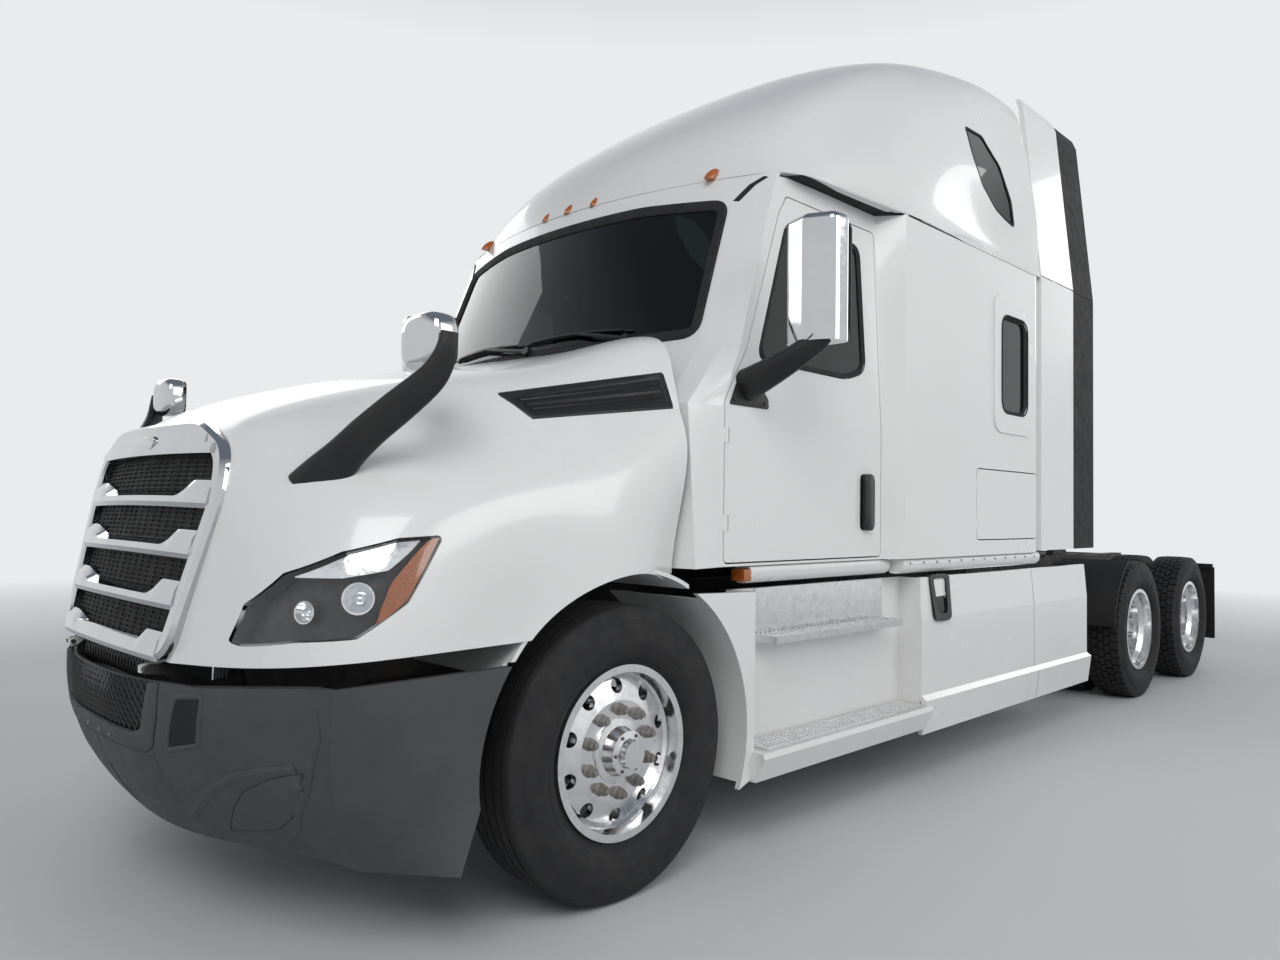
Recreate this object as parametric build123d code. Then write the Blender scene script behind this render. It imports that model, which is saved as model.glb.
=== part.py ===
"""Conventional semi truck tractor unit with a raised-roof sleeper, as separate subcomponents.

Sizes are in millimetres. While a piece is drawn, x runs forward from the front axle, y to the
vehicle's left and z up from the floor. place() moves every piece so that the origin is the
middle of the vehicle's footprint. A piece drawn for the left side is mirrored to the right.
"""
from build123d import *
from math import atan2, copysign, cos, degrees, hypot, pi, radians, sin, tan
import os

# Driving dimensions of the whole vehicle
FRONT_OVERHANG = 1320
AXLE_TO_DRIVE = 5356
TANDEM_SPREAD = 1318
REAR_OVERHANG = 740
OVERALL_LENGTH = FRONT_OVERHANG + AXLE_TO_DRIVE + TANDEM_SPREAD + REAR_OVERHANG
ORIGIN_X = OVERALL_LENGTH / 2 - FRONT_OVERHANG
GAP = 6
SEAT = 0.3

# Tyres and wheels
TYRE_R = 505
TYRE_W = 280
RIM_FLANGE_R = 298
RIM_SEAT_R = 284
RIM_HALF_W = 112
RIM_WALL = 12
RIM_DISC_EDGE = 45
STEER_WHEEL_Y = 1045
DUAL_Y = 909
DUAL_SPACING = 343
HUB_BORE_R = 110
HAND_HOLES = 10
HAND_HOLE_PCR = 222
HAND_HOLE_R = 26
BOLT_CIRCLE_R = 142.9
DRIVE_X = (-AXLE_TO_DRIVE, -AXLE_TO_DRIVE - TANDEM_SPREAD)
AXLE_TUBE_R = 80
SPINDLE_BORE_R = 72
DIFFERENTIAL_R = 205
PINION_X = 280
PINION_RISE = 30
YOKE_R = 62

# Steering
KINGPIN_Y = 870
KINGPIN_R = 22
STEER_ARM_X = -260
TIE_ROD_R = 17
TIE_ROD_Z = TYRE_R - 95

# Chassis
RAIL_Y = 432
RAIL_H = 280
RAIL_FLANGE = 85
RAIL_T = 10
RAIL_TOP = 1000
RAIL_FRONT = 1000
RAIL_REAR = -AXLE_TO_DRIVE - TANDEM_SPREAD - REAR_OVERHANG + 30
CROSSMEMBER_X = (700, -1300, -2500, -3600, -4600, -6015, -7300)

# Cab and sleeper
CAB_FLOOR_Z = 1120
ROOF_SEAM_Z = 2780
WALL = 60
CAB_HALF_W = 1150
SLEEPER_HALF_W = 1220
B_PILLAR_X = -1700
SLEEPER_FRONT_X = -1790
SLEEPER_REAR_X = -3430
ROOF_TOP_Z = 4035
DOOR_FRONT_X = -520
DOOR_REAR_X = -1690
DOOR_BOTTOM_Z = 1130
DOOR_TOP_Z = 2690
HINGE_BACK = 12
HINGE_IN = 4
HINGE_R = 9
HINGE_H = 60
DOOR_HINGE_Z = (1260, 1600)

# Windshield
GLASS_T = 8

# Hood
HOOD_T = 14
HOOD_REAR_X = -290
HOOD_PIVOT_X = 1290
HOOD_PIVOT_Z = 832
HOOD_PIN_R = 8
ARCH_R = 612
LINER_INSET = 4

# Bumper
BUMPER_T = 16
BUMPER_BOTTOM_Z = 278

# Side fairings
FAIRING_Y = 1205
FAIRING_T = 22
FAIRING_TOP_Z = 1022
FAIRING_BOTTOM_Z = 250
FAIRING_REAR_X = -4220
STEP_FRONT_X = -640
STEP_REAR_X = -1980
LOWER_STEP_Z = 405
UPPER_STEP_Z = 835

# Rear body extenders
EXTENDER_REAR_X = -3950
STRIP_REAR_X = -4335
EXTENDER_T = 30
EXTENDER_TOP_Z = 3930
EXTENDER_SPLIT_Z = 2800

# Fifth wheel
FIFTH_X = -AXLE_TO_DRIVE - TANDEM_SPREAD / 2 + 60
FIFTH_TOP_Z = 1230
FIFTH_PIVOT_Z = 1120
FIFTH_R = 455
FIFTH_T = 36
KINGPIN_SEAT_R = 25.6


def place(shape, name):
    """Writes one node, moved from the front axle's frame to the footprint's middle."""
    moved = shape.moved(Location((ORIGIN_X, 0, 0)))
    export_step(moved, f"parts/{name}.step")


def both(shape):
    """The shape and its mirror image on the right-hand side, as one compound."""
    return Compound(children=solids_of(shape) + solids_of(mirrored(shape)))


def mirrored(shape):
    return mirror(shape, about=Plane.XZ)


def solids_of(shape):
    return list(shape.solids())


def box(x0, x1, y0, y1, z0, z1):
    """A block between two corners."""
    low = (min(x0, x1), min(y0, y1), min(z0, z1))
    size = (abs(x1 - x0), abs(y1 - y0), abs(z1 - z0))
    return Pos(*low) * Box(*size, align=(Align.MIN, Align.MIN, Align.MIN))


def rod(x, y0, y1, z, radius):
    """A round bar along Y."""
    return Pos(x, (y0 + y1) / 2, z) * Rot(90, 0, 0) * Cylinder(radius, abs(y1 - y0))


def bar(start, end, radius):
    """A round bar between two points."""
    line = Vector(*end) - Vector(*start)
    plane = Plane(origin=start, z_dir=line)
    return Solid.make_cylinder(radius, line.length, plane)


def outline_face(points, rounds=0, grow=0):
    """A flat face from corner points, with rounded corners, drawn out by a clearance."""
    face = make_face(Polyline(*points, close=True)).faces()[0]
    if rounds:
        face = face.fillet_2d(rounds, face.vertices())
    if grow:
        face = offset(face, amount=grow).faces()[0]
    return face


def side_prism(points, y0, y1, rounds=0, grow=0):
    """An outline of (x, z) points, carried across from y0 to y1."""
    face = outline_face([(x, y0, z) for x, z in points], rounds, grow)
    return extrude(face, amount=y1 - y0, dir=(0, 1, 0))


def plan_prism(points, z0, z1, rounds=0, grow=0):
    """An outline of (x, y) points, raised from z0 to z1."""
    face = outline_face([(x, y, z0) for x, y in points], rounds, grow)
    return extrude(face, amount=z1 - z0, dir=(0, 0, 1))


def front_prism(points, x0, x1, rounds=0, grow=0):
    """An outline of (y, z) points, carried along from x0 to x1."""
    face = outline_face([(x0, y, z) for y, z in points], rounds, grow)
    return extrude(face, amount=x1 - x0, dir=(1, 0, 0))


def arch_ring(x, z, inner, outer, y0, y1):
    """A round shell about the axle line, such as a wheel-arch liner."""
    return rod(x, y0, y1, z, outer) - rod(x, y0 - 1, y1 + 1, z, inner)


def revolve_about_y(profile, x, z):
    """Turns a closed profile of (radius, y) points about the axle line through x, z."""
    face = make_face(Polyline(*[(radius, y, 0) for radius, y in profile], close=True))
    solid = revolve(face, axis=Axis.Y)
    return Pos(x, 0, z) * solid


# Wheels


def tyre(x, y):
    """A tyre whose middle is at y: bead, bulged sidewall, shoulder and slightly crowned tread."""
    half = TYRE_W / 2
    bead = RIM_HALF_W - RIM_WALL - 2
    inner = RIM_SEAT_R + SEAT
    lip = RIM_FLANGE_R + 4
    with BuildSketch(Plane.XY) as section:
        with BuildLine():
            lower = Polyline((inner, -bead), (lip, -bead))
            side_a = ThreePointArc(lower @ 1, (TYRE_R - 130, -half), (TYRE_R - 40, -half + 16))
            shoulder_a = ThreePointArc(side_a @ 1, (TYRE_R - 12, -half + 24), (TYRE_R - 4, -half + 42))
            tread = ThreePointArc(shoulder_a @ 1, (TYRE_R, 0), (TYRE_R - 4, half - 42))
            shoulder_b = ThreePointArc(tread @ 1, (TYRE_R - 12, half - 24), (TYRE_R - 40, half - 16))
            side_b = ThreePointArc(shoulder_b @ 1, (TYRE_R - 130, half), (lip, bead))
            Polyline(side_b @ 1, (inner, bead), (inner, -bead))
        make_face()
    solid = revolve(section.sketch, axis=Axis.Y)
    return Pos(x, y, TYRE_R) * solid


def rim_profile(outward):
    """The barrel of one rim as (radius, y): seats, flanges and the well between them."""
    w, t = RIM_HALF_W, RIM_WALL
    outer = [(RIM_FLANGE_R, -w), (RIM_FLANGE_R, -w + t), (RIM_SEAT_R, -w + t), (RIM_SEAT_R - 6, -w + 55)]
    outer += [(RIM_SEAT_R - 32, -w + 75), (RIM_SEAT_R - 32, w - 75), (RIM_SEAT_R - 6, w - 55)]
    outer += [(RIM_SEAT_R, w - t), (RIM_FLANGE_R, w - t), (RIM_FLANGE_R, w)]
    inner = [(RIM_SEAT_R - 12, w), (RIM_SEAT_R - 18, w - 50), (RIM_SEAT_R - 46, w - 78)]
    inner += [(RIM_SEAT_R - 46, -w + 78), (RIM_SEAT_R - 18, -w + 50), (RIM_SEAT_R - 12, -w)]
    return [(radius, y * outward) for radius, y in outer + inner]


def rim(x, y, disc_y, outward):
    """One rim centred at y with its bolting disc at disc_y, pierced by round hand holes."""
    barrel = Pos(0, y, 0) * revolve_about_y(rim_profile(outward), 0, 0)
    edge = RIM_SEAT_R - 40
    edge_y = y + copysign(RIM_DISC_EDGE, disc_y - y)
    bore, shoulder = HUB_BORE_R + SEAT, BOLT_CIRCLE_R + 30
    disc = [(bore, disc_y - 11), (shoulder, disc_y - 11), (edge, edge_y - 16)]
    disc += [(edge, edge_y + 16), (shoulder, disc_y + 11), (bore, disc_y + 11)]
    solid = barrel + revolve_about_y(disc, 0, 0)
    low, high = min(disc_y, edge_y) - 40, max(disc_y, edge_y) + 40
    angles = [2 * pi * (i + 0.5) / HAND_HOLES for i in range(HAND_HOLES)]
    centres = [(HAND_HOLE_PCR * cos(angle), HAND_HOLE_PCR * sin(angle)) for angle in angles]
    solid -= [rod(hole_x, low, high, hole_z, HAND_HOLE_R) for hole_x, hole_z in centres]
    return Pos(x, 0, TYRE_R) * solid


def hub(x, profile):
    """A hub turned about the axle line from (radius, y) points."""
    return revolve_about_y(profile, x, TYRE_R)


def front_wheel():
    """The left steer wheel: tyre, and rim with its hub."""
    flange = STEER_WHEEL_Y + RIM_HALF_W
    disc_y = flange - 42
    rim_solid = rim(0, STEER_WHEEL_Y, disc_y, 1)
    flange_r = BOLT_CIRCLE_R + 26
    hub_profile = [(0, disc_y - 115), (95, disc_y - 115), (95, disc_y - 60), (flange_r, disc_y - 50)]
    hub_profile += [(flange_r, disc_y - 11), (HUB_BORE_R, disc_y - 11), (HUB_BORE_R, disc_y + 14)]
    hub_profile += [(86, disc_y + 18), (76, disc_y + 62), (52, disc_y + 66)]
    hub_profile += [(46, disc_y + 92), (0, disc_y + 92)]
    drum = [(110, disc_y - 50), (196, disc_y - 50), (208, disc_y - 70), (208, disc_y - 190)]
    drum += [(192, disc_y - 190), (192, disc_y - 78), (110, disc_y - 66)]
    wheel = rim_solid + hub(0, hub_profile) + revolve_about_y(drum, 0, TYRE_R)
    return tyre(0, STEER_WHEEL_Y), wheel


def dual_wheel(x):
    """A left pair of drive wheels: two tyres, and two rims bolted back to back on the hub."""
    outer_y = DUAL_Y + DUAL_SPACING / 2
    inner_y = DUAL_Y - DUAL_SPACING / 2
    outer = rim(x, outer_y, DUAL_Y + 11, 1)
    inner = rim(x, inner_y, DUAL_Y - 11, -1)
    flange_r = BOLT_CIRCLE_R + 26
    hub_profile = [(SPINDLE_BORE_R, DUAL_Y - 150), (120, DUAL_Y - 150), (120, DUAL_Y - 60)]
    hub_profile += [(flange_r, DUAL_Y - 50), (flange_r, DUAL_Y - 22)]
    hub_profile += [(HUB_BORE_R, DUAL_Y - 22), (HUB_BORE_R, DUAL_Y + 30)]
    hub_profile += [(100, DUAL_Y + 130), (60, DUAL_Y + 138), (0, DUAL_Y + 138)]
    hub_profile += [(0, DUAL_Y + 95), (SPINDLE_BORE_R, DUAL_Y + 95)]
    wheels = outer + inner + hub(x, hub_profile)
    tyres = Compound(children=solids_of(tyre(x, outer_y)) + solids_of(tyre(x, inner_y)))
    return tyres, wheels


# Front axle and steering


def front_axle():
    """Dropped I-beam axle with spring pads and a kingpin eye at each end."""
    z = TYRE_R
    drop = 110
    end = KINGPIN_Y - 40
    top, foot = z - drop + 42, z - drop - 42
    path = [(-end, z + 42), (-end + 60, z + 42), (-RAIL_Y - 110, top), (RAIL_Y + 110, top)]
    path += [(end - 60, z + 42), (end, z + 42), (end, z - 42), (end - 75, z - 42)]
    path += [(RAIL_Y + 90, foot), (-RAIL_Y - 90, foot), (-end + 75, z - 42), (-end, z - 42)]
    beam = front_prism(path, -50, 50)
    hollow = [(-end + 90, z + 26), (-RAIL_Y - 100, z - drop + 26), (RAIL_Y + 100, z - drop + 26)]
    hollow += [(end - 90, z + 26), (end - 105, z - 20), (RAIL_Y + 84, z - drop - 26)]
    hollow += [(-RAIL_Y - 84, z - drop - 26), (-end + 105, z - 20)]
    web = front_prism(hollow, 14, 60)
    beam = beam - web - mirror(web, about=Plane.YZ)
    for side in (-1, 1):
        eye = Pos(0, side * KINGPIN_Y, z) * Cylinder(40, 84)
        beam = beam + eye
        beam = beam - Pos(0, side * KINGPIN_Y, z) * Cylinder(KINGPIN_R + SEAT, 200)
    return beam


def knuckle():
    """Left steering knuckle: forked around the axle eye, with kingpin, spindle and steering arm."""
    z = TYRE_R
    spindle_end = STEER_WHEEL_Y + RIM_HALF_W - 42 - 115 - SEAT
    pin = Pos(0, KINGPIN_Y, z) * Cylinder(KINGPIN_R, 190)
    upper = Pos(0, KINGPIN_Y, z + 62) * Cylinder(42, 38)
    lower = Pos(0, KINGPIN_Y, z - 62) * Cylinder(42, 38)
    back = box(-42, 42, KINGPIN_Y + 48, KINGPIN_Y + 66, z - 81, z + 81)
    cheek_up = box(-38, 38, KINGPIN_Y, KINGPIN_Y + 60, z + 44, z + 80)
    cheek_low = box(-38, 38, KINGPIN_Y, KINGPIN_Y + 60, z - 80, z - 44)
    spindle = rod(0, KINGPIN_Y + 60, spindle_end, z, 44)
    plate = rod(0, KINGPIN_Y + 52, KINGPIN_Y + 62, z, 176)
    arm_points = [(24, KINGPIN_Y + 22), (24, KINGPIN_Y - 20), (STEER_ARM_X, KINGPIN_Y - 24)]
    arm_points += [(STEER_ARM_X - 26, KINGPIN_Y), (STEER_ARM_X, KINGPIN_Y + 20)]
    arm = plan_prism(arm_points, TIE_ROD_Z + 18, TIE_ROD_Z + 44)
    neck = box(-30, 24, KINGPIN_Y - 20, KINGPIN_Y + 22, TIE_ROD_Z + 18, z - 60)
    ball = Pos(STEER_ARM_X, KINGPIN_Y, TIE_ROD_Z + 18) * Cylinder(10, 4)
    return pin + upper + lower + back + cheek_up + cheek_low + spindle + plate + arm + neck + ball


def tie_rod():
    """Cross tube with a ball housing at each end, under the steering arms."""
    tube = rod(STEER_ARM_X, -KINGPIN_Y, KINGPIN_Y, TIE_ROD_Z - 6, TIE_ROD_R)
    for side in (-1, 1):
        tube += Pos(STEER_ARM_X, side * KINGPIN_Y, TIE_ROD_Z - 6) * Cylinder(26, 43)
    return tube


# Chassis


def frame_rails():
    """Two inward-facing channel rails with their front horns, and the crossmembers seated between."""
    y, t, top, low = RAIL_Y, RAIL_T, RAIL_TOP, RAIL_TOP - RAIL_H
    lip = y - RAIL_FLANGE
    channel = [(y, low), (y, top), (lip, top), (lip, top - t), (y - t, top - t), (y - t, low + t)]
    channel += [(lip, low + t), (lip, low)]
    rail = front_prism(channel, RAIL_REAR, RAIL_FRONT) + side_prism(HORN, y - t - 24, y - t)
    rail += rod(HOOD_PIVOT_X, y - t - 54, y - t - 20, HOOD_PIVOT_Z, HOOD_PIN_R)
    inner = y - t - SEAT
    pieces = solids_of(rail) + solids_of(mirrored(rail))
    for x in CROSSMEMBER_X:
        cross = box(x - 45, x + 45, -inner, inner, top - 190, top - 30)
        pieces += solids_of(cross - box(x - 33, x + 60, -inner - 1, inner + 1, top - 178, top - 42))
    pieces += solids_of(box(RAIL_REAR, RAIL_REAR + 12, -inner, inner, low + 20, top - t - SEAT))
    return Compound(children=pieces)


HORN = [(RAIL_FRONT - 150, 790), (RAIL_FRONT + 100, 775), (HOOD_PIVOT_X - 60, HOOD_PIVOT_Z + 8)]
HORN += [(HOOD_PIVOT_X - 4, HOOD_PIVOT_Z + 13), (HOOD_PIVOT_X + 12, HOOD_PIVOT_Z + 2)]
HORN += [(HOOD_PIVOT_X + 6, HOOD_PIVOT_Z - 12), (HOOD_PIVOT_X - 50, HOOD_PIVOT_Z - 20)]
HORN += [(RAIL_FRONT + 120, 725), (RAIL_FRONT - 150, 735)]


def leaf_spring(side_y, axle_x, half_span, low_z, eye_z, width, thick):
    """A bowed leaf pack with an eye at each end."""
    face = make_face(
        ThreePointArc(
            (axle_x - half_span, side_y, eye_z), (axle_x, side_y, low_z), (axle_x + half_span, side_y, eye_z)
        )
        + Line((axle_x + half_span, side_y, eye_z), (axle_x + half_span, side_y, eye_z + thick))
        + ThreePointArc(
            (axle_x + half_span, side_y, eye_z + thick),
            (axle_x, side_y, low_z + thick),
            (axle_x - half_span, side_y, eye_z + thick),
        )
        + Line((axle_x - half_span, side_y, eye_z + thick), (axle_x - half_span, side_y, eye_z))
    )
    pack = extrude(face, amount=width, dir=(0, 1, 0))
    for x in (axle_x - half_span, axle_x + half_span):
        pack += rod(x, side_y, side_y + width, eye_z + thick / 2, thick)
    return pack


def front_springs():
    """Front leaf springs with their hangers, clamped on the axle beam."""
    width = 80
    y = RAIL_Y - 5 - width
    pad_z = TYRE_R - 110 + 42
    spring = leaf_spring(y, 0, 640, pad_z + 20, 610, width, 36)
    clamp = box(-70, 70, y - 8, y + width + 8, pad_z + SEAT, pad_z + 74)
    hangers = box(-690, -590, y + 6, y + width - 6, 620, RAIL_TOP - RAIL_H - SEAT)
    hangers += box(590, 690, y + 6, y + width - 6, 620, RAIL_TOP - RAIL_H - SEAT)
    return both(spring + clamp + hangers)


def drive_axles():
    """Two drive axles: tubes, a domed differential housing and hub spindles."""
    pieces = []
    reach = DUAL_Y + 94
    for x in DRIVE_X:
        axle = rod(x, -DUAL_Y + 152, DUAL_Y - 152, TYRE_R, AXLE_TUBE_R)
        axle += rod(x, -reach, reach, TYRE_R, SPINDLE_BORE_R - SEAT)
        axle += Pos(x, 0, TYRE_R) * Sphere(DIFFERENTIAL_R)
        axle += Pos(x + PINION_X - 80, 0, TYRE_R + PINION_RISE) * Rot(0, 90, 0) * Cylinder(70, 160)
        pieces += solids_of(axle)
    return Compound(children=pieces)


def rear_suspension():
    """Hangers, trailing arms and air springs under the rails at each drive axle."""
    low = RAIL_TOP - RAIL_H
    pieces = []
    for x in DRIVE_X:
        y0, y1 = RAIL_Y - 75, RAIL_Y - 5
        arm = [(x + 560, 560), (x + 560, 640), (x + 120, TYRE_R + 110), (x - 330, TYRE_R + 80)]
        arm += [(x - 330, TYRE_R + 50), (x - 90, TYRE_R + 45), (x - 90, TYRE_R + 20), (x + 90, TYRE_R + 20)]
        arm += [(x + 90, TYRE_R + 45), (x + 400, 565)]
        left = side_prism(arm, y0, y1) - rod(x, y0 - 1, y1 + 1, TYRE_R, AXLE_TUBE_R + SEAT)
        hanger = [(x + 500, 540), (x + 500, low - SEAT), (x + 620, low - SEAT), (x + 600, 540)]
        left += side_prism(hanger, y0, y1)
        middle = (y0 + y1) / 2
        bag_low, bag_high = TYRE_R + 79, low - SEAT
        left += Pos(x - 250, middle, (bag_low + bag_high) / 2) * Cylinder(105, bag_high - bag_low)
        pieces += solids_of(left) + solids_of(mirrored(left))
    return Compound(children=pieces)


def driveline():
    """Gearbox behind the engine, and the shafts to and between the drive axles."""
    gearbox = box(-900, -290 - SEAT, -250, 250, 560, 1000)
    gearbox += Pos(-930, 0, 760) * Rot(0, 90, 0) * Cylinder(120, 240)
    pinion_z = TYRE_R + PINION_RISE
    pinions = [(x + PINION_X + SEAT + YOKE_R, 0, pinion_z) for x in DRIVE_X]
    through = (DRIVE_X[0] - DIFFERENTIAL_R - SEAT - YOKE_R, 0, TYRE_R)
    first = gearbox + bar((-1040, 0, 760), pinions[0], 52) + Pos(*pinions[0]) * Sphere(YOKE_R)
    second = bar(through, pinions[1], 45)
    second += Pos(*through) * Sphere(YOKE_R)
    second += Pos(*pinions[1]) * Sphere(YOKE_R)
    return Compound(children=solids_of(first) + solids_of(second))


def engine():
    """The engine as one plain mass with its sump, standing on the front crossmember."""
    block = box(-290, 640, -300, 300, 830, 1480) + box(-200, 560, -200, 200, 600, 830)
    feet = box(500, 560, -RAIL_Y + RAIL_T, RAIL_Y - RAIL_T, 850, 900)
    return block + feet


def radiator():
    """Radiator core standing on the rails, reaching down between them, with its fan shroud."""
    between = RAIL_Y - RAIL_FLANGE - GAP
    core = box(760, 850, -460, 460, RAIL_TOP + SEAT, 1460) + box(760, 850, -between, between, 780, 1010)
    shroud = box(690, 760, -400, 400, RAIL_TOP + GAP, 1400)
    shroud -= Pos(720, 0, 1180) * Rot(0, 90, 0) * Cylinder(210, 200)
    return core + shroud


def fifth_wheel_base():
    """Mounting plate and two pivot stands on the rails."""
    plate = box(FIFTH_X - 450, FIFTH_X + 450, -RAIL_Y, RAIL_Y, RAIL_TOP + SEAT, RAIL_TOP + 14)
    stand = side_prism(STAND, 330, 390)
    stand -= rod(FIFTH_X, 300, 400, FIFTH_PIVOT_Z, 21)
    return plate + stand + mirrored(stand)


STAND = [(FIFTH_X - 170, RAIL_TOP + 10), (FIFTH_X + 170, RAIL_TOP + 10), (FIFTH_X + 46, FIFTH_PIVOT_Z + 20)]
STAND += [(FIFTH_X + 26, FIFTH_PIVOT_Z + 38), (FIFTH_X - 26, FIFTH_PIVOT_Z + 38)]
STAND += [(FIFTH_X - 46, FIFTH_PIVOT_Z + 20)]


def fifth_wheel():
    """The tilting coupling plate: round top with ramps, locked kingpin seat and pivot ears."""
    plate = Pos(FIFTH_X, 0, FIFTH_TOP_Z - FIFTH_T / 2) * Cylinder(FIFTH_R, FIFTH_T)
    ramps = plan_prism(RAMP, FIFTH_TOP_Z - FIFTH_T, FIFTH_TOP_Z)
    plate += ramps + mirrored(ramps)
    plate = plate & box(FIFTH_X - 620, FIFTH_X + 400, -430, 430, 1000, 1300)
    throat = plan_prism(THROAT, FIFTH_TOP_Z - 100, FIFTH_TOP_Z + 10)
    plate -= throat
    plate -= Pos(FIFTH_X, 0, FIFTH_TOP_Z) * Cylinder(KINGPIN_SEAT_R, 200)
    ear = side_prism(EAR, 296, 326) + side_prism(EAR, 394, 424)
    pin = rod(FIFTH_X, 290, 428, FIFTH_PIVOT_Z, 20.95)
    return plate + ear + mirrored(ear) + pin + mirrored(pin)


RAMP = [(FIFTH_X - 250, 90), (FIFTH_X - 600, 230), (FIFTH_X - 600, 400), (FIFTH_X - 200, 420)]
THROAT = [(FIFTH_X - 70, -26), (FIFTH_X - 70, 26), (FIFTH_X - 250, 60), (FIFTH_X - 700, 250)]
THROAT += [(FIFTH_X - 700, -250), (FIFTH_X - 250, -60)]
EAR = [(FIFTH_X - 120, FIFTH_TOP_Z - 20), (FIFTH_X + 120, FIFTH_TOP_Z - 20)]
EAR += [(FIFTH_X + 40, FIFTH_PIVOT_Z - 34), (FIFTH_X - 40, FIFTH_PIVOT_Z - 34)]


def fuel_tanks():
    """Round tanks behind the fairings, hung on straps from the rails."""
    x0, x1, y, z, r = -4000, -2450, 800, 620, 290
    tank = Pos((x0 + x1) / 2, y, z) * Rot(0, 90, 0) * Cylinder(r, x1 - x0)
    tank = fillet(tank.edges(), 24)
    for x in (x0 + 300, x1 - 300):
        tank += box(x - 30, x + 30, RAIL_Y + SEAT, y - 180, 740, 820)
        tank += box(x - 30, x + 30, RAIL_Y + SEAT, y - 120, 420, 500)
        tank += box(x - 30, x + 30, RAIL_Y + SEAT, RAIL_Y + 12, 420, 820)
        tank += box(x - 20, x + 20, y + 100, FAIRING_Y - FAIRING_T - SEAT, 620, 660)
    return both(tank)


def step_boxes():
    """Battery box on the left and exhaust treatment box on the right, behind the cab steps."""
    left = box(-1900, -900, RAIL_Y + SEAT, 1040, 400, 800)
    return Compound(children=solids_of(left) + solids_of(mirrored(left)))


# Cab


CAB_LEVELS = (
    # z, front centre x, front arc end (x, y), cowl corner (x, y), pillar corner (x, y), door y
    (CAB_FLOOR_Z, -299, (-305, 1080), (-322, 1185), (-505, 1150), 1150),
    (1740, -299, (-305, 1040), (-330, 1130), (-508, 1150), 1150),
    (2000, -400, (-555, 985), (-600, 1075), (-632, 1135), 1135),
    (ROOF_SEAM_Z, -690, (-852, 935), (-888, 1035), (-915, 1097), 1097),
)


def cab_outline(level, d):
    """The cab's plan outline at one level, drawn in by d."""
    z, front, (ex, ey), (cx, cy), (px, py), door_y = level
    nose = (front - d, 0, z)
    arc_end = (ex - d, ey - d * 0.4, z)
    cowl = (cx - d, cy - d * 0.8, z)
    pillar = (px - d * 0.3, door_y - d, z)
    b_pillar = (B_PILLAR_X, door_y - d, z)
    ramp = (SLEEPER_FRONT_X - d * 0.4, SLEEPER_HALF_W - d, z)
    rear_side = (SLEEPER_REAR_X + 90, SLEEPER_HALF_W - d, z)
    rear_mid = (SLEEPER_REAR_X + 27 + d * 0.7, SLEEPER_HALF_W - 27 - d * 0.7, z)
    rear_end = (SLEEPER_REAR_X + d, SLEEPER_HALF_W - 90, z)
    left = [arc_end, cowl, pillar, b_pillar, ramp, rear_side]
    right = [(x, -y, zz) for x, y, zz in left]
    flip = [(x, -y, zz) for x, y, zz in (rear_mid, rear_end)]
    edges = ThreePointArc(right[0], nose, arc_end)
    edges += Polyline(*left)
    edges += ThreePointArc(rear_side, rear_mid, rear_end)
    edges += Line(rear_end, flip[1])
    edges += ThreePointArc(flip[1], flip[0], right[-1])
    edges += Polyline(*reversed(right))
    return make_face(edges).faces()[0]


def cab_solid(d):
    """The whole cab and sleeper as one solid, drawn in by d."""
    return loft([cab_outline(level, d) for level in CAB_LEVELS], ruled=True)


SCREEN = [(-955, 2052), (-500, 2032), (500, 2032), (955, 2052)]
SCREEN += [(918, 2655), (500, 2690), (-500, 2690), (-918, 2655)]
DOOR = [(DOOR_FRONT_X, DOOR_BOTTOM_Z), (DOOR_FRONT_X, 1765), (-668, 1985), (-915, 2600), (-975, DOOR_TOP_Z)]
DOOR += [(DOOR_REAR_X, DOOR_TOP_Z), (DOOR_REAR_X, DOOR_BOTTOM_Z)]
DOOR_WINDOW = [(-745, 1955), (-975, 2575), (-1545, 2590), (-1560, 2000), (-1400, 1950)]
SLEEPER_WINDOW = [(-2852, 1917), (-2852, 2465), (-3196, 2465), (-3196, 1917)]
SLEEPER_WINDOW_FRAME = [(-2760, 1800), (-2760, 2580), (-3285, 2580), (-3285, 1800)]
LUGGAGE_HINGE_Z = (1260, 1470)
LUGGAGE_DOOR = [(-2550, 1200), (-2550, 1590), (-3370, 1590), (-3370, 1200)]
ROOF_WINDOW = [(-2610, 3490), (-2850, 3510), (-3070, 3400), (-3180, 3210), (-3215, 3060), (-3000, 3120)]
ROOF_WINDOW += [(-2810, 3215), (-2680, 3350)]


def hinge_knuckles(front_x, skin_y, heights, play):
    """Wall-side hinge knuckles behind an opening's front edge, or, with play, their pockets."""
    x, y = front_x - GAP - HINGE_BACK, skin_y - HINGE_IN
    knuckles = None
    for z in heights:
        z0, z1 = z - (SEAT if play else 0), z + HINGE_H + (SEAT if play else 0)
        reach = 30 if play else 4
        piece = Pos(x, y, (z0 + z1) / 2) * Cylinder(HINGE_R + play, z1 - z0)
        piece += box(x, front_x + 12, y - 4 - play, y + reach, z0, z1)
        knuckles = piece if knuckles is None else knuckles + piece
    return knuckles


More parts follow.
